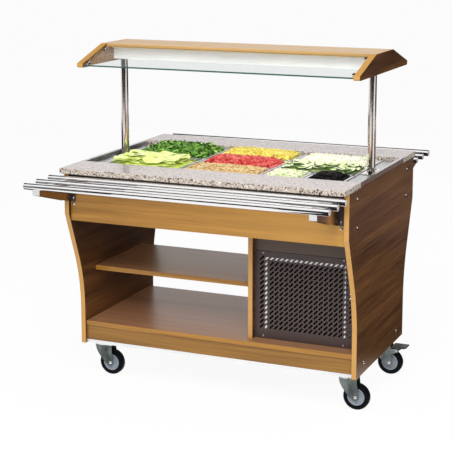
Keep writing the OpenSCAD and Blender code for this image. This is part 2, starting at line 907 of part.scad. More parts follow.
// A hub with flat blades set at an angle
module condenser_fan()
    color("lightsteelblue")
        difference() {
            translate([condenser_mid[0], fan_y, condenser_mid[1]])
                rotate([-90, 0, 0]) {
                    cylinder(d = fan_hub_d, h = fan_hub_l);
                    for (i = [0:fan_blades - 1])
                        rotate(i * 360 / fan_blades)
                            translate([fan_d / 4, 0, fan_hub_l / 2])
                                rotate([fan_tilt, 0, 0])
                                    cube([fan_d / 2 - blade_t, blade_w, blade_t], center = true);
                }
            rod_y(fan_shaft_d + 2 * run_clear, fan_y - cut, fan_y + fan_hub_l + cut,
                condenser_mid[0], condenser_mid[1]);
        }

// ---- Controls ----

module control_panel() {
    low = [control_left, control_y, control_z - control_size[2] / 2];
    high = low + control_size;
    window = low + [window_in[0], control_size[1] - window_depth, window_in[1]];
    rocker_half = rocker_size / 2 + [1, 1, 1] * seat_clear;
    color(dark_steel)
        difference() {
            span(low, high);
            // Window over the display
            span(window, window + [window_size[0], window_depth + cut, window_size[1]]);
            // Well for the rocker
            span([rocker_x - rocker_half[0], control_y + rocker_back, control_z - rocker_half[2]],
                [rocker_x + rocker_half[0], high[1] + cut, control_z + rocker_half[2]]);
        }
    // Hinge pin of the rocker
    color(steel)
        rod_x(rocker_pin_d, rocker_x - rocker_half[0], rocker_x + rocker_half[0], rocker_y, control_z);
    // Gland for the mains lead
    color("black")
        difference() {
            union() {
                rod_y(gland_nut[0], louvre_out, louvre_out + gland_nut[1], gland_x, control_z);
                rod_y(gland_neck[0], louvre_out + gland_nut[1], louvre_out + gland_neck[1],
                    gland_x, control_z);
            }
            rod_y(gland_bore_d, louvre_out + gland_floor, louvre_out + gland_neck[1] + cut,
                gland_x, control_z);
        }
}

module light_switch()
    color("crimson")
        difference() {
            intersection() {
                rod_x(2 * rocker_r, rocker_x - rocker_size[0] / 2, rocker_x + rocker_size[0] / 2,
                    rocker_y, control_z);
                translate([rocker_x, rocker_y, control_z])
                    rotate([-rocker_tilt, 0, 0])
                        span([-rocker_size[0], rocker_face - rocker_size[1], -rocker_size[2] / 2],
                            [rocker_size[0], rocker_face, rocker_size[2] / 2]);
            }
            rod_x(rocker_pin_d + 2 * run_clear, rocker_x - rocker_size[0], rocker_x + rocker_size[0],
                rocker_y, control_z);
        }

// ---- Canopy ----

module canopy_posts()
    color(steel)
        for (s = [-1, 1])
            translate([s * post_x, 0, 0]) {
                difference() {
                    translate([0, 0, ledge_z])
                        plate(foot_plate, foot_plate_r, foot_plate_t);
                    for (y = [-1, 1])
                        translate([0, y * foot_screw_y, ledge_z - cut])
                            cylinder(d = foot_screw_d + 2 * run_clear, h = foot_plate_t + 2 * cut);
                }
                difference() {
                    translate([0, 0, ledge_z])
                        cylinder(d = post_d, h = board_under - housing_t - ledge_z);
                    translate([0, 0, ledge_z + foot_plate_t])
                        cylinder(d = post_d - 2 * post_wall, h = board_under - ledge_z);
                }
            }

// A low roof with round lower corners
module hood_outline() {
    nose = hood_d / 2 - hood_nose_r;
    polygon([[-nose, hood_z], [nose, hood_z], [hood_d / 2, hood_z + hood_nose_r],
        [hood_d / 2, hood_z + hood_lip], [hood_flat / 2, hood_top], [-hood_flat / 2, hood_top],
        [-hood_d / 2, hood_z + hood_lip], [-hood_d / 2, hood_z + hood_nose_r]]);
    for (y = [-nose, nose])
        translate([y, hood_z + hood_nose_r])
            circle(hood_nose_r);
}

module hood_ends()
    color(wood)
        for (x = [-hood_w / 2, hood_in])
            along_x(x, hood_end_t)
                hood_outline();

module hood_top_board()
    color(wood)
        span([-hood_in, -hood_flat / 2, board_under], [hood_in, hood_flat / 2, hood_top]);

// A sheet channel that opens downwards, with end walls
module light_housing()
    color("white")
        difference() {
            span([-lamp_box_x, -lamp_box_d / 2, lamp_box_z], [lamp_box_x, lamp_box_d / 2, board_under]);
            span([-lamp_box_x + housing_t, -lamp_box_d / 2 + housing_t, lamp_box_z - cut],
                [lamp_box_x - housing_t, lamp_box_d / 2 - housing_t, board_under - housing_t]);
        }

// A glass tube between two sockets that hang from the housing
module lamp_tube() {
    z = (lamp_box_z + board_under) / 2 - lamp_drop;
    color("ivory")
        rod_x(lamp_d, -lamp_len / 2, lamp_len / 2, 0, z);
    color("white")
        for (s = [-1, 1])
            translate([s * (lamp_len + socket_w) / 2, 0, 0])
                span([-socket_w / 2, -lamp_d / 2 - socket_over, z - lamp_d / 2],
                    [socket_w / 2, lamp_d / 2 + socket_over, board_under - housing_t]);
}

// Carries its children to the lower edge of the front pane, with Y up the slope
module on_slope()
    translate([0, -hood_d / 2 + pane_end, hood_z + hood_lip - pane_drop])
        rotate([slope_angle, 0, 0])
            children();

module glass_panes()
    color("paleturquoise", 0.5)
        for (s = [0, 1])
            mirror([0, s, 0])
                on_slope()
                    span([-hood_in + pane_side_gap, 0, -glass_t], [hood_in - pane_side_gap, pane_len, 0]);

// Slotted clips on the canopy's end boards, which hold the corners of the panes
module glass_clips()
    color(steel)
        for (s = [0, 1], m = [0, 1], y = [clip_inset, pane_len - clip_l - clip_inset])
            mirror([0, s, 0])
                mirror([m, 0, 0])
                    on_slope()
                        difference() {
                            span([hood_in - clip_w, y, -glass_t - clip_t], [hood_in, y + clip_l, clip_t]);
                            span([hood_in - clip_w - cut, y - cut, -glass_t],
                                [hood_in - pane_side_gap, y + clip_l + cut, 0]);
                        }

// ---- Tray slides ----

// A plate on the fascia with a cheek that stands out from it and carries the hinge pin
module tray_bracket(x)
    translate([x, 0, 0]) {
        difference() {
            span([-cheek_t / 2, -fascia_out - bracket_flange_t, bracket_bottom],
                [bracket_flange, -fascia_out, bracket_top]);
            rod_y(bracket_screw_d + 2 * run_clear, -fascia_out - bracket_flange_t - cut,
                -fascia_out + cut, bracket_screw_x, bracket_screw_z);
        }
        along_x(-cheek_t / 2, cheek_t) {
            polygon([[-fascia_out, bracket_bottom], [-hinge_out, hinge_z - cheek_nose],
                [-hinge_out - cheek_nose, hinge_z], [-hinge_out, hinge_z + cheek_nose],
                [-fascia_out, hinge_z + cheek_rise]]);
            translate([-hinge_out, hinge_z])
                circle(cheek_r);
        }
        rod_x(hinge_pin_d, arm_right - arm_w - pin_over, arm_right + pin_over, -hinge_out, hinge_z);
    }

module tray_brackets()
    color(dark_steel)
        for (s = [0, 1], x = cheek_x)
            mirror([0, s, 0])
                tray_bracket(x);

module arm_outline()
    difference() {
        union() {
            polygon([[-arm_back, arm_top], [-arm_tip, arm_top], [-arm_tip, arm_top - arm_tip_h],
                [-hinge_out, hinge_z - hinge_r], [-arm_back, hinge_z]]);
            translate([-hinge_out, hinge_z])
                circle(hinge_r);
        }
        // Saddles for the tubes
        for (i = [0:tube_count - 1])
            translate([-tube_first - i * tube_pitch, tube_z])
                circle(d = tube_d + 2 * run_clear);
        translate([-hinge_out, hinge_z])
            circle(d = hinge_pin_d + 2 * run_clear);
    }

// The arm is a folded channel: two side walls, a top that carries the tubes and a tip
module tray_arm(x) {
    left = x + arm_right - arm_w;
    neck = hinge_out + hinge_r + neck_clear;
    difference() {
        along_x(left, arm_w)
            arm_outline();
        // Room for the hinge cheek between the walls
        span([left + arm_t, -neck, hinge_z - 2 * hinge_r],
            [left + arm_w - arm_t, -arm_back + cut, arm_top + cut]);
        // Hollow that opens downwards
        span([left + arm_t, -arm_tip + arm_t, hinge_z - 2 * hinge_r],
            [left + arm_w - arm_t, -neck + cut, arm_top - saddle_depth - arm_t]);
    }
}

module tray_slide() {
    ends = [for (s = [-1, 1]) tray_shift + s * tray_len / 2];
    // Tubes with closed ends and a vent hole in the underside
    for (i = [0:tube_count - 1])
        translate([0, -tube_first - i * tube_pitch, tube_z])
            difference() {
                rod_x(tube_d, ends[0], ends[1], 0, 0);
                rod_x(tube_d - 2 * tube_wall, ends[0] + tube_end_t, ends[1] - tube_end_t, 0, 0);
                translate([tray_shift, 0, -tube_d / 2 - cut])
                    cylinder(d = vent_d, h = tube_d / 2 + cut);
            }
    for (x = cheek_x)
        tray_arm(x);
}

module front_tray_slide()
    color(steel)
        tray_slide();

module rear_tray_slide()
    color(steel)
        mirror([0, 1, 0])
            tray_slide();

// ---- Castors ----

castor_places = [[-castor_x, -castor_y], [castor_x, -castor_y],
    [-castor_x, castor_y], [castor_x, castor_y]];

module castor_plates()
    color(steel)
        for (p = castor_places)
            translate([p[0], p[1], 0]) {
                translate([0, 0, castor_h - plate_size[2]])
                    plate([plate_size[0], plate_size[1]], plate_r, plate_size[2]);
                translate([0, 0, castor_h - plate_size[2] - race_h])
                    cylinder(d = race_d, h = race_h);
                translate([0, 0, bridge_z])
                    cylinder(d = kingpin_d, h = castor_h - plate_size[2] - bridge_z);
            }

// The leg's outline, seen from the front, with the swivel axis at 0
module leg_outline(braked) {
    polygon(concat([[-leg_front, leg_top], [leg_back, leg_top], [leg_back + 2, leg_top - 22],
        [castor_trail + axle_boss_r - 1, axle_z + 4], [castor_trail, axle_z - 4],
        [castor_trail - axle_boss_r + 4, axle_z - 7]], [for (e = leg_edge) [e[0], axle_z + e[1]]]));
    translate([castor_trail, axle_z])
        circle(axle_boss_r);
    if (braked) {
        polygon([[10, leg_top], [leg_back, leg_top], [brake_x - 22, brake_z + ear_r - 2],
            [brake_x - 3, brake_z + ear_r - 1], [brake_x + 3, brake_z - 4],
            [20, axle_z + 16]]);
        translate([brake_x, brake_z])
            circle(ear_r);
    }
}

module fork(place, braked)
    color("slategray")
        translate([place[0], place[1], 0]) {
            difference() {
                union() {
                    translate([0, 0, leg_top])
                        cylinder(d = crown_d, h = crown_h);
                    for (y = [-fork_out, fork_in])
                        translate([0, y + leg_t, 0])
                            rotate([90, 0, 0])
                                linear_extrude(leg_t)
                                    leg_outline(braked);
                    // Bridge between the legs
                    span([-leg_front, -fork_out, bridge_z], [leg_back, fork_out, leg_top]);
                }
                translate([0, 0, bridge_z - cut])
                    cylinder(d = kingpin_d + 2 * run_clear, h = crown_top - bridge_z + 2 * cut);
            }
            // Axle with its bolt heads
            rod_y(axle_d, -fork_out, fork_out, castor_trail, axle_z);
            for (s = [-1, 1])
                translate([castor_trail, s * fork_out, axle_z])
                    rotate([-s * 90, 0, 0])
                        dome_screw(trim_bolt_d, bracket_screw_d, 0);
            if (braked)
                rod_y(brake_pin_d, -fork_out - brake_pin_over, fork_out + brake_pin_over, brake_x, brake_z);
        }

module front_left_fork() fork(castor_places[0], false);
module front_right_fork() fork(castor_places[1], false);
module rear_left_fork() fork(castor_places[2], true);
module rear_right_fork() fork(castor_places[3], true);

// A grey hub disc in a black tyre with rounded shoulders
module wheel(place) {
    shoulder = 7;
    hub_r = hub_d / 2;
    hub_side = wheel_w / 2 - 2;
    dish = hub_side - 2;
    boss_r = 10;
    bore_r = axle_d / 2 + run_clear;
    half = [[bore_r, wheel_w / 2], [boss_r, wheel_w / 2], [boss_r + 2, dish], [hub_r - 6, dish],
        [hub_r - 4, hub_side], [hub_r, hub_side]];
    last = len(half) - 1;
    translate([place[0] + castor_trail, place[1], axle_z])
        rotate([90, 0, 0]) {
            color("lightslategray")
                rotate_extrude()
                    polygon(concat(half, [for (i = [last:-1:0]) [half[i][0], -half[i][1]]]));
            color("black")
                rotate_extrude() {
                    translate([hub_r, -wheel_w / 2])
                        square([tyre_t - shoulder, wheel_w]);
                    translate([hub_r, -wheel_w / 2 + shoulder])
                        square([tyre_t, wheel_w - 2 * shoulder]);
                    for (s = [-1, 1])
                        translate([wheel_d / 2 - shoulder, s * (wheel_w / 2 - shoulder)])
                            circle(shoulder);
                }
        }
}

module front_left_wheel() wheel(castor_places[0]);
module front_right_wheel() wheel(castor_places[1]);
module rear_left_wheel() wheel(castor_places[2]);
module rear_right_wheel() wheel(castor_places[3]);

// A foot pedal on a hub between the ears of the fork
module brake(place) {
    under = ear_r + 3;
    lip = pedal_top - 4;
    hub_side_gap = 1;
    color("black")
        translate([place[0] + brake_x, place[1], brake_z])
            rotate([90, 0, 0])
                difference() {
                    union() {
                        linear_extrude(2 * (fork_in - hub_side_gap), center = true) {
                            circle(d = brake_hub_d);
                            polygon([[-3, 5], [5, -3], [22, under - 1], [10, lip], [-4, lip]]);
                        }
                        linear_extrude(pedal_w, center = true)
                            polygon([[-pedal_back, under], [pedal_reach - 12, under], [pedal_reach, lip],
                                [pedal_reach, pedal_top], [6 - pedal_back, pedal_top], [-pedal_back, lip]]);
                    }
                    cylinder(d = brake_pin_d + 2 * run_clear, h = pedal_w + cut, center = true);
                }
}

module rear_left_brake() brake(castor_places[2]);
module rear_right_brake() brake(castor_places[3]);

left_side_panel();
right_side_panel();
fascia_boards();
bottom_deck();
plinth_boards();
middle_shelf();
partition_panel();
base_frame();
granite_strips();
well_tank();
tank_insulation();
divider_bars();
evaporator_coil();
dome_screws();
louvre_panels();
louvre_strips();
compressor();
condenser();
condenser_fan();
control_panel();
light_switch();
canopy_posts();
hood_ends();
hood_top_board();
light_housing();
lamp_tube();
glass_panes();
glass_clips();
tray_brackets();
front_tray_slide();
rear_tray_slide();
castor_plates();
front_left_fork();
front_right_fork();
rear_left_fork();
rear_right_fork();
front_left_wheel();
front_right_wheel();
rear_left_wheel();
rear_right_wheel();
rear_left_brake();
rear_right_brake();
left_rear_pan();
left_front_pan();
middle_rear_pan();
middle_centre_pan();
middle_front_pan();
right_rear_pan();
right_centre_pan();
right_front_inner_pan();
right_front_outer_pan();
green_lettuce();
iceberg_lettuce();
yellow_pepper();
tomato_pieces();
shredded_carrot();
white_onion();
cucumber_slices();
pale_cabbage();
black_olives();
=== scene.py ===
# Mobile salad bar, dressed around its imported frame. Metres, Z up, the floor at 0.
import json
import math

import bmesh
import bpy
import numpy as np
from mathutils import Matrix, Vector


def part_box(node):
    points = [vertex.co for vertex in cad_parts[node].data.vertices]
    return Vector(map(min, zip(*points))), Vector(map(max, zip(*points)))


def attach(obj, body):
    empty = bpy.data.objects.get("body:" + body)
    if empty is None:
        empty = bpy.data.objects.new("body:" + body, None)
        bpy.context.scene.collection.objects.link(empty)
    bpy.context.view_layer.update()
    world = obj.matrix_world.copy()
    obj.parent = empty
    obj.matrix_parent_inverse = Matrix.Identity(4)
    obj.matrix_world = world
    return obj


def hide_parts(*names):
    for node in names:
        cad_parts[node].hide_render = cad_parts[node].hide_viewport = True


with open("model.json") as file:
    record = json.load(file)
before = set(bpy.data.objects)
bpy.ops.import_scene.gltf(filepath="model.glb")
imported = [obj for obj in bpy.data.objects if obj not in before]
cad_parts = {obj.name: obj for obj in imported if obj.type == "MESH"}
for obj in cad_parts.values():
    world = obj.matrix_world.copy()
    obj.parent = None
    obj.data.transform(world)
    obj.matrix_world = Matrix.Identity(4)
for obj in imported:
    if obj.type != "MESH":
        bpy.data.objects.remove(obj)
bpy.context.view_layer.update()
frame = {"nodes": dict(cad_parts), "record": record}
record = frame["record"]
nodes = frame["nodes"]
bodyOf = {node: body for body, members in record["behaviour"]["bodies"].items() for node in members}
print("frame loaded:", len(nodes), "nodes")


# A shader socket. Python's operators on it add Math nodes, so 1 - mask * 0.5 reads as maths.
# "above" gives 1 over a limit and 0 under it, "below" the other way round, and "clamped" keeps a
# value between 0 and 1.
class Wire:
    def __init__(self, tree, socket):
        self.tree, self.socket = tree, socket

    def maths(self, operation, first, second=None, clamp=False):
        made = self.tree.nodes.new("ShaderNodeMath")
        made.operation = operation
        made.use_clamp = clamp
        for place, value in enumerate((first, second)):
            if isinstance(value, Wire):
                self.tree.links.new(value.socket, made.inputs[place])
            elif value is not None:
                made.inputs[place].default_value = value
        return Wire(self.tree, made.outputs[0])

    def __add__(self, other):
        return self.maths("ADD", self, other)

    def __radd__(self, other):
        return self.maths("ADD", other, self)

    def __sub__(self, other):
        return self.maths("SUBTRACT", self, other)

    def __rsub__(self, other):
        return self.maths("SUBTRACT", other, self)

    def __mul__(self, other):
        return self.maths("MULTIPLY", self, other)

    def __rmul__(self, other):
        return self.maths("MULTIPLY", other, self)

    def __abs__(self):
        return self.maths("ABSOLUTE", self)

    def above(self, limit):
        return self.maths("GREATER_THAN", self, limit)

    def below(self, limit):
        return self.maths("LESS_THAN", self, limit)

    def clamped(self):
        return self.maths("ADD", self, 0.0, clamp=True)


# One material: a Principled shader, and the nodes that feed it
class Finish:
    def __init__(self, name, **values):
        self.material = bpy.data.materials.new(name)
        self.material.use_nodes = True
        self.tree = self.material.node_tree
        self.shader = self.tree.nodes["Principled BSDF"]
        self.feed(**values)

    def put(self, socket, value):
        if isinstance(value, Wire):
            self.tree.links.new(value.socket, socket)
        elif hasattr(value, "__len__") and socket.type == "RGBA":
            socket.default_value = (*value[:3], 1.0)
        else:
            socket.default_value = value

    def feed(self, **values):
        for key, value in values.items():
            self.put(self.shader.inputs[key.replace("_", " ")], value)

    # Any node: its type, its settings, the output that is wanted, and its sockets' values or links
    def node(self, kind, settings=None, out=0, **values):
        made = self.tree.nodes.new("ShaderNode" + kind)
        for key, value in (settings or {}).items():
            if key == "stops":
                ramp = made.color_ramp
                while len(ramp.elements) < len(value):
                    ramp.elements.new(0.5)
                for element, (place, colour) in zip(ramp.elements, value):
                    element.position = place
                    element.color = (*colour, 1.0)
            elif key == "steps":
                made.color_ramp.interpolation = value
            else:
                setattr(made, key, value)
        for key, value in values.items():
            name = key.replace("_", " ")
            socket = next(s for s in made.inputs if s.name == name and s.enabled)
            self.put(socket, value)
        return Wire(self.tree, made.outputs[out])

    def place(self):
        return self.node("TexCoord", out="Object")

    def stretched(self, scale):
        return self.node("Mapping", Vector=self.place(), Scale=scale)

    def noise(self, vector, scale, detail=3.0, roughness=0.5):
        return self.node("TexNoise", Vector=vector, Scale=scale, Detail=detail, Roughness=roughness)

    def ramp(self, factor, *stops, steps="LINEAR"):
        return self.node("ValToRGB", {"steps": steps, "stops": stops}, Fac=factor)

    def mix(self, factor, first, second):
        return self.node("Mix", {"data_type": "RGBA"}, out=2, Factor=factor, A=first, B=second)

    # How far the surface faces along one axis of the object, from -1 to 1
    def facing(self, axis):
        normal = self.node("NewGeometry", out="True Normal")
        return self.node("SeparateXYZ", out=axis, Vector=normal)

    def along(self, axis):
        return self.node("SeparateXYZ", out=axis, Vector=self.place())

    # Marks or clouds: a noise whose scale along each axis is given
    def marks(self, scale):
        return self.noise(self.stretched(scale), 1.0, 3.0, 0.6)

    # The surface is the first shader where the mask is 0 and the second where it is 1
    def blend(self, mask, first, second):
        made = self.tree.nodes.new("ShaderNodeMixShader")
        self.put(made.inputs[0], mask)
        self.tree.links.new(first, made.inputs[1])
        self.tree.links.new(second, made.inputs[2])
        self.tree.links.new(made.outputs[0], self.tree.nodes["Material Output"].inputs["Surface"])

    def bump(self, height, distance, strength=1.0):
        self.feed(Normal=self.node("Bump", Height=height, Distance=distance, Strength=strength))
        return self


laminate = {  # linear colours, then tones and limits
    "light": (0.500, 0.240, 0.036),
    "dark": (0.300, 0.132, 0.017),
    # painted light: the fascia's lighter tone towards +X
    "bright": (0.640, 0.335, 0.065),
    "band": (0.560, 0.300, 0.085),
    # painted light and sheen: a pale tone for the brightly lit canopy top
    "pale": (0.800, 0.560, 0.270),
    # painted shade: a darker copy of the laminate for faces turned from the light
    "side": (0.200, 0.082, 0.021),
    "sideDark": (0.056, 0.020, 0.007),
    # painted shade: near black, deep inside the cabinet's bays
    "bay": (0.012, 0.005, 0.002),
    # painted shade on the inner faces of the canopy's end boards
    "hoodInner": (0.230, 0.098, 0.008),
    # painted shade and sheen: the upper faces' darker, greyer tones
    "top": (0.400, 0.205, 0.105),
    "topDark": (0.275, 0.130, 0.064),
    "fineGrain": (130.0, 1.6),  # scale across and along the grain
    "wideGrain": (16.0, 0.7),
    # painted shade: the plinth is darker, in shade under the cabinet
    "plinthTone": 0.68,
    "fasciaTone": 0.90,
    # share of painted light and sheen on the canopy's top board
    "hoodTopPale": 0.38,
    "coat": 0.06,
    "bandFrom": 0.815,  # height over which the fascia is painted black: a painted shadow under the granite
    "hoodFrom": 1.0,  # height over which a side board belongs to the canopy
    "innerBelow": -0.3,  # a side board's face looks at the middle where place times normal is lower
    "shadeRise": (2.4, -0.75, 0.92),  # slope, start and top of the painted shade by height
    "brightRise": (0.60, 0.22),  # slope and middle of the fascia's painted light along X
}


# Laminated board with its grain along one axis: fine streaks, stretched along the grain, are
# added to broad ones, and the sum runs from the dark to the light tone. The side option gives
# the side boards' faces and top edges a darker copy of the laminate, painted shade of faces
# turned from the light, which on the inside deepens with height into painted shade of the bays
# and the canopy's inner faces. The tops option paints shade and sheen on the upper faces, the
# fascia's option paints light that grows along X and a black painted shadow on its top edge,
# and the pale share mixes in a pale tone, which is painted light and sheen.
def laminateFinish(name, grain, sides=False, topsPaintedShade=False, paintedShadowBand=False, tone=1.0, pale=0.0):
    f = Finish(name, Roughness=0.3, Coat_Roughness=0.12)
    fineScale, wideScale = ([laminate[key][0]] * 3 for key in ("fineGrain", "wideGrain"))
    fineScale[grain], wideScale[grain] = laminate["fineGrain"][1], laminate["wideGrain"][1]
    fine = f.noise(f.stretched(fineScale), 2.0, 5.0, 0.65)
    wide = f.noise(f.stretched(wideScale), 1.6, 3.0, 0.55)
    streak = (fine * 0.62 + wide * 0.5 - 0.06).clamped()
    dark, light = (tuple(c * tone for c in laminate[key]) for key in ("dark", "light"))
    # A share of the pale tone, which is painted light and sheen, goes into the base colour
    colour = f.mix(pale, f.ramp(streak, (0.40, dark), (0.60, light)), laminate["pale"])
    if sides:
        # Painted shade: faces that look along X and the side boards' top edges take a darker copy
        # of the laminate, and inner faces darken with height, to near black in the bays and to a
        # darker brown inside the canopy
        face = abs(f.facing("X")).above(0.7)
        shaded = f.ramp(streak, (0.38, laminate["sideDark"]), (0.64, laminate["side"]))
        band = f.mix(streak * 0.35, laminate["band"], laminate["light"])
        hood = f.along("Z").above(laminate["hoodFrom"])
        edge = f.facing("Z").above(0.9) * (1 - hood)
        inner = (f.along("X") * f.facing("X")).below(laminate["innerBelow"])
        slope, start, most = laminate["shadeRise"]
        depth = (f.along("Z") * slope + start).clamped() * most
        shaded = f.mix(inner * depth, shaded, f.mix(hood, laminate["bay"], laminate["hoodInner"]))
        colour = f.mix((face + edge).clamped(), band, shaded)
    # Painted shade and sheen: the upper faces take darker, greyer tones
    if topsPaintedShade:
        upper = f.ramp(streak, (0.36, laminate["topDark"]), (0.66, laminate["top"]))
        colour = f.mix(f.facing("Z").above(0.7), colour, upper)
    if paintedShadowBand:
        # Painted light: the fascia grows lighter towards +X
        slope, middle = laminate["brightRise"]
        colour = f.mix((f.along("X") * slope + middle).clamped(), colour, laminate["bright"])
        # Painted shadow: the fascia's top strip under the granite's overhang is near black
        colour = f.mix(f.along("Z").above(laminate["bandFrom"]), colour, (0.012, 0.010, 0.010))
    f.feed(Base_Color=colour, Roughness=0.26 + fine * 0.16, Coat_Weight=laminate["coat"])
    return f.bump(fine, 0.0002, 0.25).material


# Speckled stone: cells of two sizes, their borders bent a little by a noise, pick one of six
# tones. The top is polished and mixed with a calm tone, and the edges stay rough and high in
# contrast.
def graniteFinish():
    f = Finish("granite", Roughness=0.3)
    place = f.place()
    bent = f.node("Mix", {"data_type": "VECTOR"}, out=1, Factor=0.004, A=place,
                  B=f.node("TexNoise", out="Color", Vector=place, Scale=150.0))
    grains = f.node("TexVoronoi", out="Color", Vector=bent, Scale=210.0)
    pick = f.node("SeparateColor", out=0, Color=grains)
    small = f.node("TexVoronoi", out="Color", Vector=bent, Scale=420.0)
    smallPick = f.node("SeparateColor", out=1, Color=small)
    cloud = f.noise(place, 14.0, 3.0)
    stone = f.ramp(
        pick * 0.8 + smallPick * 0.2,
        (0.0, (0.035, 0.028, 0.025)), (0.17, (0.16, 0.12, 0.10)), (0.25, (0.42, 0.36, 0.33)),
        (0.42, (0.53, 0.46, 0.39)), (0.62, (0.62, 0.54, 0.45)), (0.85, (0.77, 0.71, 0.62)),
        steps="CONSTANT")
    top = f.facing("Z").above(0.7)
    calm = f.mix(0.50 + cloud * 0.2, stone, (0.45, 0.39, 0.40))
    colour = f.mix(top, stone, calm)
    f.feed(Base_Color=colour, Roughness=0.62 - top * 0.44 + pick * 0.08)
    return f.bump(smallPick * (1 - top), 0.0008, 0.5).material


# Sheet or tube steel. "brush" is the axis of its brush marks, which vary the roughness round the
# value "rough"; a broad cloud varies the colour down to a darker shade.
def steelFinish(name, colour, rough, brush=None, metal=1.0):
    f = Finish(name, Metallic=metal, Roughness=rough)
    scale = [60.0 if brush is None else 900.0] * 3
    if brush is not None:
        scale[brush] = 6.0
    marks = f.marks(scale)
    cloud = f.noise(f.place(), 7.0, 2.0)
    shade = tuple(c * 0.86 for c in colour)
    f.feed(Base_Color=f.mix(cloud, shade, colour), Roughness=rough * 0.7 + marks * rough * 0.6)
    return f.bump(marks, 0.00006, 0.12).material


# Powder coat or moulded plastic: an even colour with a fine orange peel in roughness and height
def coatFinish(name, colour, rough, grainScale=900.0, shine=0.5):
    f = Finish(name, Roughness=rough, Specular_IOR_Level=shine)
    grain = f.noise(f.place(), grainScale, 2.0)
    cloud = f.noise(f.place(), 9.0, 3.0)
    shade = tuple(c * 0.8 for c in colour)
    f.feed(Base_Color=f.mix(cloud, shade, colour), Roughness=rough * 0.8 + grain * rough * 0.4)
    return f.bump(grain, 0.00015, 0.2).material


# Clear float glass: the faces that look mostly up or down are clear, and the others are its cut
# edges, which are dark green
def glassFinish():
    f = Finish("floatGlass", Roughness=0.02, IOR=1.45, Transmission_Weight=1.0)
    haze = f.noise(f.place(), 3.0, 2.0)
    f.feed(Base_Color=f.mix(haze, (0.955, 0.990, 0.978), (0.975, 0.997, 0.988)))
    cut = f.tree.nodes.new("ShaderNodeBsdfPrincipled")
    f.put(cut.inputs["Base Color"], f.mix(haze, (0.010, 0.060, 0.050), (0.020, 0.095, 0.078)))
    cut.inputs["Roughness"].default_value = 0.18
    f.blend(abs(f.facing("Z")).above(0.75), cut.outputs[0], f.shader.outputs[0])
    return f.material


# Food that is cut in pieces. The attribute "tone" is a random value a piece, which with a little
# grain picks a colour between the tones, and the attribute "part" tells flesh from skin.
def foodFinish(name, *tones, skin=None, rough=0.34, wet=0.12, shine=0.4):
    f = Finish(name, Coat_Weight=wet, Coat_Roughness=0.15, Specular_IOR_Level=shine)
    tone = f.node("Attribute", {"attribute_name": "tone"}, out="Fac")
    grain = f.noise(f.place(), 500.0, 2.0)
    stops = [(n / (len(tones) - 1), colour) for n, colour in enumerate(tones)]
    colour = f.ramp((tone * 0.8 + grain * 0.2).clamped(), *stops)
    if skin:
        part = f.node("Attribute", {"attribute_name": "part"}, out="Fac")
        colour = f.mix(part, colour, skin)
    f.feed(Base_Color=colour, Roughness=rough * 0.7 + grain * rough * 0.6)
    return f.bump(grain, 0.0006, 0.35).material


# Quads between the rows and columns of a grid that wraps round both ways
def ringFaces(rows, sides):
    r, s = np.meshgrid(np.arange(rows), np.arange(sides), indexing="ij")
    up, on = (r + 1) % rows, (s + 1) % sides
    corners = [r * sides + s, r * sides + on, up * sides + on, up * sides + s]
    return np.stack(corners, -1).reshape(-1, 4)


# Faces of a closed skin: point 0 is one pole, then the rings, then the other pole
def skinFaces(rings, sides):
    r, s = np.meshgrid(np.arange(rings - 1), np.arange(sides), indexing="ij")
    on = (s + 1) % sides
    corners = [r * sides + s, r * sides + on, (r + 1) * sides + on, (r + 1) * sides + s]
    quads = 1 + np.stack(corners, -1)
    s = np.arange(sides)
    on = (s + 1) % sides
    last = 1 + (rings - 1) * sides
    start = np.stack([0 * s, 1 + on, 1 + s], -1)
    end = np.stack([0 * s + last + sides, last + s, last + on], -1)
    return quads.reshape(-1, 4).tolist() + np.concatenate([start, end]).tolist()


# The points of a closed skin, with a pole at the middle of its first and of its last ring
def skinPoints(rings):
    first, last = rings[0].mean(0), rings[-1].mean(0)
    return np.concatenate([[first], rings.reshape(-1, 3), [last]])


# Puts a new object into the scene
def addObject(name, data):
    made = bpy.data.objects.new(name, data)
    bpy.context.scene.collection.objects.link(made)
    return made


# A node's name as part of a piece's name: green_lettuce becomes GreenLettuce
def labelOf(node):
    return node.title().replace("_", "")


# Turns a mesh's points and faces into a finished piece on a body. Bends of more than "smooth"
# degrees stay sharp, and "values" are attributes with a number for each point.
def addPiece(name, points, faces, body, finish, smooth, values=None):
    mesh = bpy.data.meshes.new(name)
    faces = faces if isinstance(faces, list) else faces.tolist()
    mesh.from_pydata(np.asarray(points).tolist(), [], faces)
    for key, numbers in (values or {}).items():
        attribute = mesh.attributes.new(key, "FLOAT", "POINT")
        attribute.data.foreach_set("value", numbers.astype(np.float32))
    work = bmesh.new()
    work.from_mesh(mesh)
    bmesh.ops.recalc_face_normals(work, faces=work.faces)
    work.to_mesh(mesh)
    work.free()
    piece = addObject(name, mesh)
    mesh.materials.append(finish)
    mesh.shade_smooth()
    mesh.set_sharp_from_angle(angle=math.radians(smooth))
    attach(piece, body)
    return piece


# A profile of (radius, place) points turned about an axis through "centre": each point goes to
# the radius times the cosine and sine across the axis, and keeps its place along it
def turned(profile, sides, centre, axis):
    profile = np.asarray(profile, float)
    angle = np.linspace(0, 2 * np.pi, sides, endpoint=False)
    radial = profile[:, 0:1] * np.cos(angle), profile[:, 0:1] * np.sin(angle)
    level = profile[:, 1:2] + 0 * angle
    order = {0: (level, *radial), 1: (radial[1], level, radial[0]), 2: (*radial, level)}[axis]
    return np.stack(order, -1) + np.asarray(centre)


# The points of an arc in a profile, in degrees: the centre plus the radius times cosine and sine
def arc(centre, radius, start, end, steps=6):
    a = np.radians(np.linspace(start, end, steps))
    return np.stack([centre[0] + radius * np.cos(a), centre[1] + radius * np.sin(a)], -1)


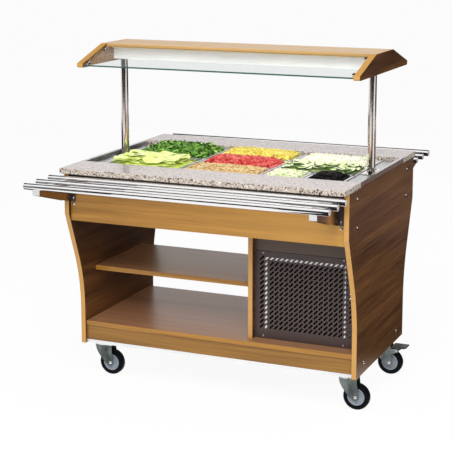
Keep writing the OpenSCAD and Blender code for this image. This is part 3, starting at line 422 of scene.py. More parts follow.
# A ring of points round a rectangle with round corners: a quarter circle is turned to each
# corner, and moved out by half the sides less the radius
def roundRing(width, depth, radius, steps=6):
    a = np.linspace(0, np.pi / 2, steps + 1)
    corner = np.stack([np.cos(a), np.sin(a)], -1) * radius
    inset = np.array([width / 2 - radius, depth / 2 - radius])
    ring = []
    for turn, sign in enumerate(((1, 1), (-1, 1), (-1, -1), (1, -1))):
        c, s = math.cos(turn * math.pi / 2), math.sin(turn * math.pi / 2)
        ring.append(corner @ np.array([[c, s], [-s, c]]) + inset * sign)
    return np.concatenate(ring)


edges = {
    "weld": 0.00001,  # metres: nearer points are one point
    "board": 0.0008,  # bevels, metres
    "fork": 0.0005,
    "pedal": 0.0008,
    "sharp": 32,  # degrees: larger bends are bevelled
}


# Gives a carried-over node its finish, and where asked the small bevel of a real edge
def dress(node, finish, bevel=0.0):
    piece = nodes[node]
    piece.data.materials.clear()
    piece.data.materials.append(finish)
    if bevel:
        weld = piece.modifiers.new("weld", "WELD")
        weld.merge_threshold = edges["weld"]
        edge = piece.modifiers.new("edge", "BEVEL")
        edge.width = bevel
        edge.segments = 2
        edge.limit_method = "ANGLE"
        edge.angle_limit = math.radians(edges["sharp"])


view = {  # fitted to the object's corners in the photograph
    "place": (1.9740, -4.7268, 1.7731),
    "azimuth": 23.030,  # degrees
    "pitch": 10.085,
    "lens": 107.40,  # millimetres
    "sensor": 36.0,
    "shift": (-0.0206, -0.15),
}


def addCamera():
    lens = bpy.data.cameras.new("camera")
    lens.lens = view["lens"]
    lens.sensor_width = view["sensor"]
    lens.shift_x, lens.shift_y = view["shift"]
    camera = addObject("camera", lens)
    camera.location = view["place"]
    camera.rotation_euler = (math.radians(90 - view["pitch"]), 0, math.radians(view["azimuth"]))
    bpy.context.scene.camera = camera


studio = {
    "ambient": 0.52,
    "softboxes": [  # place, aim, size, power
        ((0.9, -3.2, 4.2), (0.0, 0.0, 0.6), 2.6, 165.0),
        ((1.5, -3.8, 2.6), (0.3, 0.0, 0.6), 2.0, 44.0),
        ((0.6, 3.6, 3.4), (0.0, 0.0, 0.8), 2.6, 32.0),
    ],
    "floorHalf": 30.0,
    "floorShade": 0.07,  # share of the floor that still takes light and shadow
    "flagRadius": 7.0,
    "flagMiddle": 0.8,
    "flagStep": 2.0,  # degrees a patch
    "domeRise": (-6, 88),
    "matHeight": 0.004,
    "darkPitch": [(-8, 28), (100, 153)],  # from and to, degrees
    "darkTurn": (96, 180),  # dark as well, up to darkRise
    "darkRise": 50,
    "mats": [  # from, to, and the dark sectors
        (0.72, 2.6, [(-180, -80), (30, 180)]),
        (2.6, 7.0, [(-180, -42), (14, 52), (86, 180)]),
    ],
    "brownFrom": 86,  # turn from which the mats past "brownPast" metres are brown
    "brownPast": 1,
    "blackFlag": (0.018, 0.016, 0.016),
    "brownFlag": (0.20, 0.13, 0.11),
}


# 1 for a ray from the camera, off gloss or through glass, and 0 for any other
def directRays(tree):
    path = tree.nodes.new("ShaderNodeLightPath")
    seen, gloss, through = (Wire(tree, path.outputs[f"Is {kind} Ray"])
                            for kind in ("Camera", "Glossy", "Transmission"))
    return (seen + gloss + through).clamped()


# White to the camera, to gloss and through glass, and a plain ambient level to all else
def addLight():
    scene = bpy.context.scene
    scene.view_settings.view_transform = "Standard"
    world = bpy.data.worlds.new("studio")
    scene.world = world
    world.use_nodes = True
    tree = world.node_tree
    level = studio["ambient"] + directRays(tree) * (1 - studio["ambient"])
    background = tree.nodes["Background"]
    background.inputs["Color"].default_value = (1.0, 1.0, 1.0, 1.0)
    tree.links.new(level.socket, background.inputs["Strength"])
    for number, (place, aim, size, power) in enumerate(studio["softboxes"]):
        lamp = bpy.data.lights.new(f"softbox{number}", "AREA")
        lamp.shape = "SQUARE"
        lamp.size = size
        lamp.energy = power
        holder = addObject(f"softbox{number}", lamp)
        holder.location = place
        holder.visible_glossy = False
        beam = np.array(aim) - np.array(place)
        flat = math.hypot(beam[0], beam[1])
        holder.rotation_euler = (math.atan2(flat, -beam[2]), 0, math.atan2(-beam[0], beam[1]))


# The floor keeps a faint shadow, and is otherwise as white as the background
def addFloor():
    half = studio["floorHalf"]
    mesh = bpy.data.meshes.new("floor")
    corners = [(-half, -half, 0), (half, -half, 0), (half, half, 0), (-half, half, 0)]
    mesh.from_pydata(corners, [], [(0, 1, 2, 3)])
    floor = addObject("floor", mesh)
    f = Finish("paleFloor", Roughness=0.9, Base_Color=(0.93, 0.93, 0.93))
    glow = f.node("Emission", Color=(1.0, 1.0, 1.0), Strength=1.0)
    share = directRays(f.tree) * (1 - studio["floorShade"])
    f.blend(share, f.shader.outputs[0], glow.socket)
    mesh.materials.append(f.material)


# Dark cards that only the object's gloss sees. Each is a patch of a dome or a mat on the floor:
# the radius times the cosines and sines of its turn and rise. "pitch" runs from 0 at the front
# horizon over 90 above to 180 at the back horizon.
def addFlags():
    radius, middle = studio["flagRadius"], studio["flagMiddle"]
    step = studio["flagStep"]
    rises = np.arange(*studio["domeRise"], step)
    turn, rise = np.meshgrid(np.arange(-180, 180, step), rises, indexing="ij")
    corners, tones = [], []

    def keep(turns, rises, dome, near, far):
        # Four corners for each patch, counted round it
        quads = []
        for dt, dr in ((0, 0), (step, 0), (step, step), (0, step)):
            a = np.radians(turns + dt)
            if dome:
                e = np.radians(rises + dr)
                x, y, z = np.cos(e) * np.sin(a), -np.cos(e) * np.cos(a), np.sin(e)
                quads.append(np.stack([x * radius, y * radius, z * radius + middle], -1))
            else:
                r = near if dr == 0 else far
                z = 0 * a + studio["matHeight"]
                quads.append(np.stack([r * np.sin(a), -r * np.cos(a), z], -1))
        corners.append(np.stack(quads, 1).reshape(-1, 3))
        brown = (turns >= studio["brownFrom"]) & (near > studio["brownPast"])
        tones.extend(brown.astype(int).tolist())

    a, e = np.radians(turn + step / 2), np.radians(rise + step / 2)
    pitch = np.degrees(np.arctan2(np.sin(e), np.cos(e) * np.cos(a)))
    dark = np.zeros(pitch.shape, bool)
    for low, high in studio["darkPitch"]:
        dark |= (pitch > low) & (pitch < high)
    first, last = studio["darkTurn"]
    dark |= (turn >= first) & (turn < last) & (rise < studio["darkRise"])
    keep(turn[dark], rise[dark], True, 0, 0)
    for near, far, sectors in studio["mats"]:
        for start, end in sectors:
            row = np.arange(start, end, step)
            keep(row, 0 * row, False, near, far)
    corners = np.concatenate(corners)
    mesh = bpy.data.meshes.new("flags")
    mesh.from_pydata(corners.tolist(), [], np.arange(len(corners)).reshape(-1, 4).tolist())
    for name in ("blackFlag", "brownFlag"):
        f = Finish(name, Base_Color=(0.0, 0.0, 0.0), Roughness=1.0, Specular_IOR_Level=0.0)
        f.feed(Emission_Color=studio[name], Emission_Strength=1.0)
        mesh.materials.append(f.material)
    mesh.polygons.foreach_set("material_index", tones)
    flags = addObject("flags", mesh)
    for kind in ("camera", "diffuse", "transmission", "volume_scatter", "shadow"):
        setattr(flags, "visible_" + kind, False)


addCamera()
addLight()
addFloor()
addFlags()
print("camera, light and floor")

# Cabinet, canopy and machine bay: the CAD nodes get their finishes
shelving = laminateFinish("laminateShelf", 0, topsPaintedShade=True)
crossways = laminateFinish("laminateCrossways", 1, sides=True)
dress("fascia_boards", laminateFinish("laminateFascia", 0, paintedShadowBand=True,
                                      tone=laminate["fasciaTone"]), edges["board"])
dress("plinth_boards", laminateFinish("laminatePlinth", 0, tone=laminate["plinthTone"]),
      edges["board"])
dress("hood_top_board", laminateFinish("laminateHoodTop", 0, pale=laminate["hoodTopPale"]),
      edges["board"])
for node in ("bottom_deck", "middle_shelf"):
    dress(node, shelving, edges["board"])
for node in ("left_side_panel", "right_side_panel", "partition_panel", "hood_ends"):
    dress(node, crossways, edges["board"])

satinSteel = steelFinish("satinSteel", (0.74, 0.74, 0.75), 0.3, brush=0)
brightSteel = steelFinish("brightSteel", (0.92, 0.91, 0.91), 0.05, brush=0)
postSteel = steelFinish("postSteel", (0.95, 0.86, 0.82), 0.10, brush=2)
zincPlate = steelFinish("zincPlate", (0.60, 0.62, 0.62), 0.30)
bareAluminium = steelFinish("bareAluminium", (0.95, 0.95, 0.96), 0.35, brush=0, metal=0.5)
warmGrey = coatFinish("warmGreyCoat", (0.070, 0.046, 0.042), 0.42)
stripCoat = coatFinish("stripCoat", (0.105, 0.066, 0.048), 0.42)
# Painted dark reflection: the stainless brackets are given an even dark brown coat
bracketCoat = coatFinish("bracketCoat", (0.050, 0.030, 0.028), 0.35)
copper = steelFinish("copperPipe", (0.72, 0.40, 0.27), 0.28)
blackCoat = coatFinish("blackCoat", (0.018, 0.018, 0.020), 0.35)

# Places of the castors: the swivel axes' distance from the middle plane, the height over which
# the crown is bright, and a leg's face with the play before a bolt head counts as bright
castor = {"axis": 0.215, "crown": 0.1195, "legFace": 0.021, "play": 0.0003}


# Zinc plated fork: legs in a cloudy shade, and a bright crown, bridge and bolt heads
def forkFinish():
    f = Finish("forkZinc", Metallic=0.85, Roughness=0.36)
    bolt = abs(abs(f.along("Y")) - castor["axis"]).above(castor["legFace"] + castor["play"])
    bright = (bolt + f.along("Z").above(castor["crown"])).clamped()
    cloud = f.marks((18.0, 18.0, 9.0))
    legs = f.ramp(cloud, (0.35, (0.060, 0.075, 0.072)), (0.62, (0.26, 0.29, 0.28)))
    f.feed(Base_Color=f.mix(bright, legs, (0.86, 0.86, 0.86)), Roughness=0.42 - bright * 0.2)
    return f.bump(f.noise(f.place(), 90.0, 3.0), 0.0004, 0.3).material


# Sheet frame round the fins: inside the frame's band, at the front, the colour turns near black,
# painted shade of the dark bay behind the louvre; the frame's near white is partly its bright
# sheet and partly painted light
def condenserFinish():
    low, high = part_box("condenser")
    f = Finish("condenserMetal", Roughness=0.4)
    band, feet, depth = 0.011, 0.012, 0.044  # frame's band, its feet and the painted-shade front's depth
    across = f.along("X").above(low[0] + band) * (1 - f.along("X").above(high[0] - band))
    upright = f.along("Z").above(low[2] + feet + band) * (1 - f.along("Z").above(high[2] - band))
    front = 1 - f.along("Y").above(low[1] + depth)
    marks = f.noise(f.place(), 60.0, 2.0)
    f.feed(Base_Color=f.mix(across * upright * front, (0.96, 0.96, 0.95), (0.020, 0.017, 0.017)),
           Roughness=0.34 + marks * 0.2)
    return f.material


whiteCoat = coatFinish("whiteCoat", (0.90, 0.90, 0.89), 0.3)
opal = coatFinish("opalGlass", (0.93, 0.93, 0.90), 0.15)
fanGrey = coatFinish("fanGrey", (0.30, 0.34, 0.37), 0.4)
switchRed = coatFinish("switchRed", (0.55, 0.03, 0.02), 0.2)
foam = coatFinish("foamJacket", (0.72, 0.66, 0.46), 0.8, 300.0)
rubber = coatFinish("tyreRubber", (0.003, 0.003, 0.004), 0.6, 700.0, shine=0.12)
hubGrey = coatFinish("hubGrey", (0.27, 0.31, 0.36), 0.3)
blackPlastic = coatFinish("pedalPlastic", (0.035, 0.037, 0.040), 0.45)
panes = glassFinish()

plainDress = {
    "base_frame": bareAluminium, "well_tank": satinSteel, "divider_bars": satinSteel,
    "tank_insulation": foam, "evaporator_coil": copper, "dome_screws": brightSteel,
    "louvre_panels": warmGrey, "louvre_strips": stripCoat, "compressor": blackCoat,
    "condenser": condenserFinish(), "condenser_fan": fanGrey, "control_panel": warmGrey,
    "light_switch": switchRed, "canopy_posts": postSteel, "light_housing": whiteCoat,
    "lamp_tube": opal, "glass_panes": panes, "glass_clips": brightSteel,
    "tray_brackets": bracketCoat, "castor_plates": zincPlate,
}
for node, finish in plainDress.items():
    dress(node, finish)
nodes["glass_panes"].visible_shadow = False  # light falls through the panes onto the housing
forkZinc = forkFinish()
corners = ("front_left", "front_right", "rear_left", "rear_right")
for corner in corners:
    dress(corner + "_fork", forkZinc, edges["fork"])
for side in ("rear_left", "rear_right"):
    dress(side + "_brake", blackPlastic, edges["pedal"])
print("cabinet, canopy and machine bay dressed")

granite = {
    "steps": 420,  # along the slab
    "rows": 9,  # up its split side
    "chip": 0.0016,  # deepest chip, metres
    "edgeRadius": 0.0015,
    "waves": 60,
    "waveTurn": (60, 900),  # least and most, radians a metre
    "waveSpan": 11,  # range of the waves' sum that spans a whole chip
    "seed": 5,
    "wellGap": 0.0005,
}


# A slab whose outer edge is split rough: its cross section is carried along X, and the points
# of the rough side move in by a sum of seeded waves
def graniteStrip(low, high, outward):
    across, height = high[1] - low[1], high[2] - low[2]
    r = granite["edgeRadius"]
    wall = np.linspace(r, height - r, granite["rows"])
    outer = np.stack([0 * wall, wall], -1)
    rest = [(r, height), (across * 0.2, height), (across * 0.5, height), (across - r, height),
            (across, height - r), (across, r), (across - r, 0), (across * 0.5, 0), (r, 0)]
    section = np.concatenate([outer, rest])
    x = np.linspace(low[0], high[0], granite["steps"])
    grid = np.zeros((len(x), len(section), 3))
    grid[..., 0] = x[:, None]
    random = np.random.default_rng(granite["seed"])
    depth = np.zeros((len(x), len(section)))
    for wave in range(granite["waves"]):
        turn = random.uniform(0, 2 * np.pi, 2)
        fx, fz = (random.uniform(*granite["waveTurn"]) for axis in "xz")
        depth += np.sin(fx * x[:, None] + fz * section[None, :, 1] + turn[0])
    rough = np.zeros(len(section))
    rough[: len(outer)] = 1.0
    depth = np.clip(depth / granite["waveSpan"] + 0.5, 0, 1) * granite["chip"] * rough
    start = low[1] if outward < 0 else high[1]
    grid[..., 1] = start - outward * (section[None, :, 0] + depth)
    grid[..., 2] = low[2] + section[None, :, 1]
    return skinPoints(grid), skinFaces(len(x), len(section))


stone = graniteFinish()


# The front and the rear slab reach from the node's outer faces to just past the well's edge
def addGranite():
    low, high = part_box("granite_strips")
    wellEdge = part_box("well_tank")[1][1] + granite["wellGap"]
    spans = {"graniteFront": (low[1], -wellEdge, -1), "graniteRear": (wellEdge, high[1], 1)}
    for name, (near, far, outward) in spans.items():
        points, faces = graniteStrip((low[0], near, low[2]), (high[0], far, high[2]), outward)
        piece = addPiece(name, points, faces, "cabinet", stone, smooth=35.0)
        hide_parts("granite_strips")


addGranite()
print("granite")

tray = {"tubeRadius": 0.0125, "lip": 0.0005, "first": 0.450, "pitch": 0.086, "count": 3,
        "sides": 48, "longestArm": 0.1, "armBevel": 0.0006, "sharp": 40}


# A merged copy of a CAD node without its islands that are longer than "longest" along X, so the
# arms stay and the tubes go
def copyShort(node, name, longest, finish, body):
    mesh = nodes[node].data.copy()
    work = bmesh.new()
    work.from_mesh(mesh)
    bmesh.ops.remove_doubles(work, verts=work.verts, dist=edges["weld"])
    left = set(work.verts)
    gone = []
    while left:
        island, border = set(), [left.pop()]
        while border:
            vertex = border.pop()
            island.add(vertex)
            for link in vertex.link_edges:
                other = link.other_vert(vertex)
                if other in left:
                    left.discard(other)
                    border.append(other)
        reach = [v.co.x for v in island]
        if max(reach) - min(reach) > longest:
            gone.extend(island)
    bmesh.ops.delete(work, geom=gone, context="VERTS")
    work.to_mesh(mesh)
    work.free()
    mesh.materials.clear()
    mesh.materials.append(finish)
    piece = addObject(name, mesh)
    edge = piece.modifiers.new("edge", "BEVEL")
    edge.width = tray["armBevel"]
    edge.segments = 2
    edge.angle_limit = math.radians(tray["sharp"])
    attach(piece, body)
    return piece


# Each slide gets three turned tubes with poles on their closed ends, and the arms' copy
def addTrays():
    outer, lip = tray["tubeRadius"], tray["lip"]
    trays = (("frontTray", "front_tray_slide", -1), ("rearTray", "rear_tray_slide", 1))
    for name, node, side in trays:
        low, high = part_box(node)
        body = bodyOf[node]
        z = high[2] - outer
        profile = [(outer / 2, low[0]), (outer - lip, low[0]), (outer, low[0] + lip),
                   (outer, high[0] - lip), (outer - lip, high[0]), (outer / 2, high[0])]
        for number in range(tray["count"]):
            y = side * (tray["first"] + number * tray["pitch"])
            points = skinPoints(turned(profile, tray["sides"], (0, y, z), 0))
            faces = skinFaces(len(profile), tray["sides"])
            piece = addPiece(f"{name}Tube{number + 1}", points, faces, body,
                             tubeSteel, smooth=50.0)
            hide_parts(node)
        arms = copyShort(node, name + "Arms", tray["longestArm"], armSteel, body)
        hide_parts(node)


# Polished tubes whose welded end plates, which look along X, are matt and pale
def tubeFinish():
    f = Finish("tubeSteel", Metallic=1.0, Roughness=0.05)
    end = abs(f.facing("X")).above(0.8)
    marks = f.marks((6.0, 900.0, 900.0))
    f.feed(Base_Color=f.mix(end, (0.92, 0.91, 0.91), (0.70, 0.66, 0.64)), Metallic=1 - end * 0.85,
           Roughness=0.035 + marks * 0.03 + end * 0.4)
    return f.material


# The tray arms: bright tips, and a painted dark reflection on the walls that look along X
def armFinish():
    f = Finish("armSteel", Metallic=1.0, Roughness=0.22)
    wall = abs(f.facing("X")).above(0.7)
    marks = f.marks((900.0, 6.0, 900.0))
    f.feed(Base_Color=f.mix(wall, (0.90, 0.89, 0.89), (0.48, 0.39, 0.35)),
           Roughness=0.16 + marks * 0.12)
    return f.material


tubeSteel = tubeFinish()
armSteel = armFinish()
addTrays()
print("tray slides")

wheel = {"radius": 0.050, "width": 0.030, "hub": 0.033, "bore": 0.00405, "shoulder": 0.0075,
         "shoulderIn": 0.0085, "tread": 0.004, "sides": 72}


# A tyre and a disc on each axle, turned from closed profiles of (radius, place along the axle)
def addWheels():
    half, rim, hub = wheel["width"] / 2, wheel["radius"], wheel["hub"]
    bulge, inset, tread = wheel["shoulder"], wheel["shoulderIn"], wheel["tread"]
    tyre = np.concatenate([
        [(hub, -half + 0.004), (hub + 0.001, -half + 0.0015), (hub + 0.0055, -half + 0.0005),
         (hub + 0.0065, -half + 0.0015), (hub + 0.0080, -half + 0.0015)],
        arc((rim - bulge, -half + inset), bulge, -80, -6, 7),
        [(rim, -tread), (rim, tread)],
        arc((rim - bulge, half - inset), bulge, 6, 80, 7),
        [(hub + 0.0080, half - 0.0015), (hub + 0.0065, half - 0.0015),
         (hub + 0.0055, half - 0.0005), (hub + 0.001, half - 0.0015), (hub, half - 0.004)]])
    side = [(wheel["bore"], half), (0.0085, half), (0.0100, half - 0.0010), (0.0105, half - 0.0040),
            (0.0150, half - 0.0048), (0.0240, half - 0.0048), (0.0265, half - 0.0035),
            (0.0280, half - 0.0022), (hub - 0.0005, half - 0.0022), (hub, half - 0.0032)]
    disc = side + [(r, -y) for r, y in reversed(side)]
    for corner in corners:
        node = corner + "_wheel"
        low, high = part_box(node)
        centre = (low + high) / 2
        rows = (("tyre", tyre, rubber, "tyre_black"), ("hub", disc, hubGrey, "zinc"))
        for name, profile, finish, slot in rows:
            points = turned(profile, wheel["sides"], centre, 1)
            faces = ringFaces(len(profile), wheel["sides"])
            piece = addPiece(name + labelOf(corner), points.reshape(-1, 3), faces, bodyOf[node],
                             finish, smooth=35.0)
            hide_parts(node)


addWheels()
print("castor wheels")

pan = {
    "sheet": 0.0010,
    "flange": 0.014,
    "lip": 0.003,
    "flangeRadius": 0.016,
    "flangeEdge": [(0.0025, 0), (0.0008, 0.0006), (0, 0.0018)],  # back from the edge, and down
    "under": 0.0022,  # the flange's underside, down from the top
    "root": 0.002,  # the bend from there into the outer wall
    "rootDrop": 0.006,
    "leastRadius": 0.002,
    "bodyRadius": 0.028,
    "shoulderHeight": 0.004,  # the round between the inner wall and the flange
    "shoulderWidth": 0.003,
    "rimDip": 0.0002,
    "fillet": 0.012,
    "draft": 0.003,
}


# Round rectangles stacked from the middle of the floor, up the inner wall, over the flange,
# round its lip and down the outer wall to the floor's underside
def panShell(low, high):
    width, depth = high[0] - low[0], high[1] - low[1]
    t, flange, lip = pan["sheet"], pan["flange"], pan["lip"]
    top, floor = high[2], low[2]
    fillet, draft = pan["fillet"], pan["draft"]
    inner = (width - 2 * flange - 2 * t, depth - 2 * flange - 2 * t)
    rows = []

    def ring(grow, z, radius):
        rows.append((inner[0] + 2 * grow, inner[1] + 2 * grow, max(radius, pan["leastRadius"]), z))

    base = pan["bodyRadius"] - t
    for a in np.linspace(90, 0, 5):
        out = -draft - fillet * (1 - math.cos(math.radians(a)))
        ring(out, floor + t + fillet * (1 - math.sin(math.radians(a))), base + out)
    rise, wide, dip = pan["shoulderHeight"], pan["shoulderWidth"], pan["rimDip"]
    ring(0.0, top - rise, base)
    for a in (30, 60, 90):
        s, c = math.sin(math.radians(a)), math.cos(math.radians(a))
        ring(wide * (1 - c), top - rise + rise * s - dip, base + wide * (1 - c))
    over, under, corner, root = flange + t, pan["under"], pan["flangeRadius"], pan["root"]
    for back, down in (*pan["flangeEdge"], (0, lip), (t, lip), (t, under)):
        ring(over - back, top - down, corner - back)
    ring(t + root, top - under, base + t + root)
    ring(t, top - pan["rootDrop"], base + t)
    for a in np.linspace(0, 90, 5):
        out = t - draft - fillet * (1 - math.cos(math.radians(a)))
        ring(out, floor + fillet * (1 - math.sin(math.radians(a))), base + out)
    middle = ((low[0] + high[0]) / 2, (low[1] + high[1]) / 2)
    rings = []
    for w, d, r, z in rows:
        flat = roundRing(w, d, r) + middle
        rings.append(np.concatenate([flat, np.full((len(flat), 1), z)], -1))
    rings = np.array(rings)
    return skinPoints(rings), skinFaces(len(rings), rings.shape[1])


panNodes = [node for node in nodes if node.endswith("_pan")]
panSteel = steelFinish("panSteel", (0.80, 0.80, 0.81), 0.2, brush=0)
for node in panNodes:
    points, faces = panShell(*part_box(node))
    piece = addPiece("steel" + labelOf(node), points, faces, bodyOf[node], panSteel,
                     smooth=50.0)
    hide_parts(node)
print("food pans:", len(panNodes))


# A block with round edges: the cosines and sines of a sphere's two angles, each raised to
# "power" with its sign kept
def blockShape(size, power=0.42, rings=4, sides=8):
    lat = np.linspace(-np.pi / 2, np.pi / 2, rings + 2)[1:-1]
    lon = np.linspace(0, 2 * np.pi, sides, endpoint=False) + np.pi / sides

    def soft(v):
        return np.sign(v) * np.abs(v) ** power

    x = soft(np.cos(lat))[:, None] * soft(np.cos(lon))[None]
    y = soft(np.cos(lat))[:, None] * soft(np.sin(lon))[None]
    z = soft(np.sin(lat))[:, None] + 0 * lon[None]
    points = skinPoints(np.stack([x, y, z], -1))
    points[0, 2], points[-1, 2] = -1.0, 1.0
    return points * np.asarray(size) / 2, skinFaces(rings, sides), np.zeros(len(points))


# A leaf or a shred: a flat section carried along a line, as wide as half a sine to the power 0.6.
# Its edges lift by the square of their distance across times a sine along the line, and the whole
# bows up by half a sine.
def leafShape(length, width, thick, ruffle, bow, waves, rings=9, sides=10):
    u = np.linspace(0, 1, rings + 2)[1:-1][:, None]
    a = np.linspace(0, 2 * np.pi, sides, endpoint=False)[None]
    half = width / 2 * np.sin(np.pi * u) ** 0.6
    across = np.cos(a)
    x = (u - 0.5) * length + 0 * a
    y = half * across
    lift = ruffle * np.abs(across) ** 2 * np.sin(waves * 2 * np.pi * u + across * 1.6)
    z = np.sin(a) * thick / 2 * np.sin(np.pi * u) ** 0.3 + lift + bow * np.sin(np.pi * u)
    points = skinPoints(np.stack([x, y, z], -1))
    points[0] = (-length / 2, 0, 0)
    points[-1] = (length / 2, 0, 0)
    part = np.concatenate([[0], (np.abs(across) ** 3 * (0 * u + 1)).ravel(), [0]])
    return points, skinFaces(rings, sides), part


# A round slice: half of a rounded section turned about Z. "part" is 1 on the skin and 0 on the
# flesh.
def sliceShape(radius, thick, sides=20):
    profile = [(radius * 0.45, thick / 2), (radius * 0.86, thick / 2), (radius * 0.93, thick / 2),
               (radius, thick * 0.3), (radius, -thick * 0.3), (radius * 0.93, -thick / 2),
               (radius * 0.45, -thick / 2)]
    rings = turned(profile, sides, (0, 0, 0), 2)
    part = np.repeat([0, 0, 0.9, 1, 1, 0.9, 0], sides)
    return skinPoints(rings), skinFaces(len(profile), sides), np.concatenate([[0], part, [0]])


# Random turns: any spin about Z, then leans of up to "tilt" degrees about Y and about X, as the
# product of three matrices
def turns(random, count, tilt):
    spin = random.uniform(0, 2 * np.pi, count)
    lean = np.radians(random.uniform(-tilt, tilt, (count, 2)))
    c, s = np.cos(spin), np.sin(spin)
    zero, one = np.zeros(count), np.ones(count)
    about = np.array([[c, -s, zero], [s, c, zero], [zero, zero, one]])
    cx, sx = np.cos(lean[:, 0]), np.sin(lean[:, 0])
    cy, sy = np.cos(lean[:, 1]), np.sin(lean[:, 1])
    overX = np.array([[one, zero, zero], [zero, cx, -sx], [zero, sx, cx]])
    overY = np.array([[cy, zero, sy], [zero, one, zero], [-sy, zero, cy]])
    return np.einsum("ijn,jkn,kln->nil", overX, overY, about)


# The bed under the strewn pieces, in metres apart from its number of rings, "reach" as a share of
# the way in, "sink" as a share of the pieces' sinking, and what a corner loses a metre of inset
bed = {"brim": 0.012, "shoulder": 0.012, "rings": 9, "reach": 0.94, "sink": 1.6, "corner": 0.026,
       "cornerLoss": 0.3, "leastCorner": 0.003, "clear": 0.0005, "depth": 0.05}
# The strewing: the grid's margins as shares of the spacing, the layers' and pieces' further
# sinking as shares of "sink", and the least and most that a piece is scaled
strew = {"countMargin": 0.4, "gridMargin": 0.45, "layerSink": 1.2, "sinkSpread": 0.5,
         "scale": (0.82, 1.12)}


# Height of the heap over the pan's rim: it starts "brim" under the rim at the wall, and rises with
# a quarter sine to the power 0.8 over a way in of twice the heap's height and the shoulder
def heapHeight(across, heap, brim):
    share = np.clip(across / (2 * heap + bed["shoulder"]), 0, 1)
    return -brim + (heap + brim) * np.sin(share * np.pi / 2) ** 0.8


# One pan's food: a bed that fills the pan, and pieces strewn over it on a jittered grid, each
# turned at random and sunk into the heap's height there, all in one mesh. "reachShare" is the
# share of the largest piece's reach that its middle keeps from the pan's wall.
def addFood(node, finish, shapes, spacing, sink, tilt, seed, layers=2, jitter=0.5,
            reachShare=0.9):
    random = np.random.default_rng(seed)
    low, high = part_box(node)
    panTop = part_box(panOf[node])[1][2]
    heap, brim = high[2] - panTop, bed["brim"]
    centre = np.array([(low[0] + high[0]) / 2, (low[1] + high[1]) / 2])
    half = np.array([high[0] - low[0], high[1] - low[1]]) / 2
    points, faces, tone, part = [], [], [], []

    # The bed: round rectangles that rise to the middle
    rows = []
    for share in np.linspace(0, bed["reach"], bed["rings"]):
        inset = share * half.min()
        z = panTop + heapHeight(inset, heap, brim) - sink * bed["sink"]
        corner = max(bed["corner"] - inset * bed["cornerLoss"], bed["leastCorner"])
        flat = roundRing(*(2 * (half - inset - bed["clear"])), corner) + centre
        rows.append(np.concatenate([flat, np.full((len(flat), 1), z)], -1))
    under = rows[0].copy()
    under[:, 2] -= bed["depth"]
    rings = np.array([under] + rows)
    points.append(skinPoints(rings))
    faces.extend(skinFaces(len(rings), rings.shape[1]))
    offset = len(points[0])
    tone.append(np.zeros(offset))
    part.append(np.zeros(offset))

    for layer in range(layers):
        counts = np.maximum(1, (2 * (half - spacing * strew["countMargin"]) / spacing)).astype(int)
        gx, gy = np.meshgrid(*(np.linspace(-1, 1, n) for n in counts), indexing="ij")
        spots = np.stack([gx.ravel(), gy.ravel()], -1) * (half - spacing * strew["gridMargin"])
        spots += random.uniform(-jitter, jitter, spots.shape) * spacing
        reach = max(np.abs(s[0][:, :2]).max() for s in shapes) * reachShare
        spots = np.clip(spots, -(half - reach), half - reach)
        edge = (half - np.abs(spots)).min(1)
        z = panTop + heapHeight(edge, heap, brim) - sink * strew["layerSink"] * layer - sink
        z = z - random.uniform(0, strew["sinkSpread"], len(z)) * sink
        kinds = random.integers(0, len(shapes), len(spots))
        spins = turns(random, len(spots), tilt)
        for kind, (shape, shapeFaces, shapePart) in enumerate(shapes):
            chosen = np.flatnonzero(kinds == kind)
            scale = random.uniform(*strew["scale"], (len(chosen), 1, 1))
            placed = np.einsum("nij,mj->nmi", spins[chosen], shape) * scale
            placed[..., :2] += centre + spots[chosen][:, None]
            placed[..., 2] += z[chosen][:, None]
            points.append(placed.reshape(-1, 3))
            size = len(shape)
            for copy in range(len(chosen)):
                start = offset + copy * size
                faces.extend([[v + start for v in face] for face in shapeFaces])
            offset += size * len(chosen)
            tone.append(np.repeat(random.uniform(0, 1, len(chosen)), size))
            part.append(np.tile(shapePart, len(chosen)))
    values = {"tone": np.concatenate(tone), "part": np.concatenate(part)}
    piece = addPiece("heap" + labelOf(node), np.concatenate(points), faces, bodyOf[node],
                     finish, smooth=50.0, values=values)
    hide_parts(node)
    print("food:", node, len(faces), "faces")


foodNodes = [node for members in record["behaviour"]["bodies"].values() for node in members
             if any(m.endswith("_pan") for m in members) and not node.endswith("_pan")]
panOf = {node: next(m for m in record["behaviour"]["bodies"][bodyOf[node]] if m.endswith("_pan"))
         for node in foodNodes}

addFood(
    "green_lettuce",
    foodFinish("leafGreen", (0.030, 0.100, 0.014), (0.13, 0.30, 0.035), (0.36, 0.54, 0.12),
               skin=(0.10, 0.24, 0.03)),
    [leafShape(0.044, 0.016, 0.0007, 0.004, 0.006, 2.5),
     leafShape(0.030, 0.020, 0.0007, 0.004, 0.004, 2.0)],
    spacing=0.017, sink=0.004, tilt=42, seed=11)
addFood(
    "iceberg_lettuce",
    foodFinish("leafPale", (0.66, 0.80, 0.15), (0.80, 0.92, 0.25), (0.90, 0.96, 0.42),
               skin=(0.84, 0.93, 0.34)),
    [leafShape(0.086, 0.064, 0.0010, 0.002, 0.005, 1.2, 12, 14),
     leafShape(0.070, 0.050, 0.0010, 0.002, 0.004, 1.4, 12, 14)],
    spacing=0.032, sink=0.008, tilt=8, seed=12, reachShare=1.15)
addFood(
    "yellow_pepper",
    foodFinish("pepperYellow", (0.62, 0.46, 0.055), (0.72, 0.60, 0.10), (0.80, 0.70, 0.22)),
    [blockShape((0.022, 0.009, 0.008)), leafShape(0.034, 0.007, 0.006, 0.001, 0.004, 1, 7, 8)],
    spacing=0.010, sink=0.002, tilt=24, seed=13)
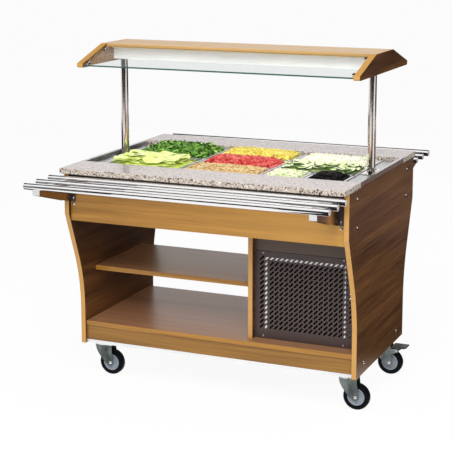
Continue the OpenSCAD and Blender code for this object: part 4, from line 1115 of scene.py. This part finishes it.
addFood(
    "tomato_pieces",
    foodFinish("tomatoRed", (0.36, 0.016, 0.018), (0.60, 0.070, 0.062), (0.68, 0.19, 0.15)),
    [blockShape((0.016, 0.014, 0.011)), blockShape((0.020, 0.013, 0.010))],
    spacing=0.0125, sink=0.003, tilt=36, seed=14)
addFood(
    "shredded_carrot",
    foodFinish("carrotOrange", (0.56, 0.29, 0.085), (0.70, 0.46, 0.18), (0.76, 0.61, 0.35),
               (0.54, 0.52, 0.20)),
    [leafShape(0.030, 0.005, 0.003, 0.001, 0.004, 1, 7, 6), blockShape((0.012, 0.009, 0.005), 0.5)],
    spacing=0.010, sink=0.002, tilt=22, seed=15)
addFood(
    "white_onion",
    foodFinish("onionWhite", (0.72, 0.72, 0.52), (0.82, 0.82, 0.66), (0.90, 0.90, 0.80)),
    [blockShape((0.012, 0.011, 0.010)), blockShape((0.015, 0.009, 0.007))],
    spacing=0.0105, sink=0.003, tilt=34, seed=16)
addFood(
    "cucumber_slices",
    foodFinish("cucumber", (0.62, 0.74, 0.28), (0.80, 0.90, 0.46), (0.90, 0.96, 0.64),
               skin=(0.015, 0.060, 0.008)),
    [sliceShape(0.0235, 0.004), sliceShape(0.021, 0.004)],
    spacing=0.022, sink=0.002, tilt=14, layers=1, jitter=0.4, seed=17, reachShare=1.0)
addFood(
    "pale_cabbage",
    foodFinish("cabbagePale", (0.76, 0.85, 0.46), (0.88, 0.94, 0.64), (0.93, 0.96, 0.76)),
    [leafShape(0.034, 0.0055, 0.0020, 0.001, 0.003, 1, 7, 6),
     leafShape(0.026, 0.0050, 0.0020, 0.001, -0.002, 1, 7, 6)],
    spacing=0.008, sink=0.002, tilt=22, seed=18)
addFood(
    "black_olives",
    foodFinish("oliveBlack", (0.002, 0.002, 0.002), (0.009, 0.007, 0.009), rough=0.38, wet=0.0,
               shine=0.12),
    [blockShape((0.017, 0.013, 0.012), 1.0, 6, 12), blockShape((0.014, 0.012, 0.012), 1.0, 6, 12)],
    spacing=0.0125, sink=0.001, tilt=30, seed=19)
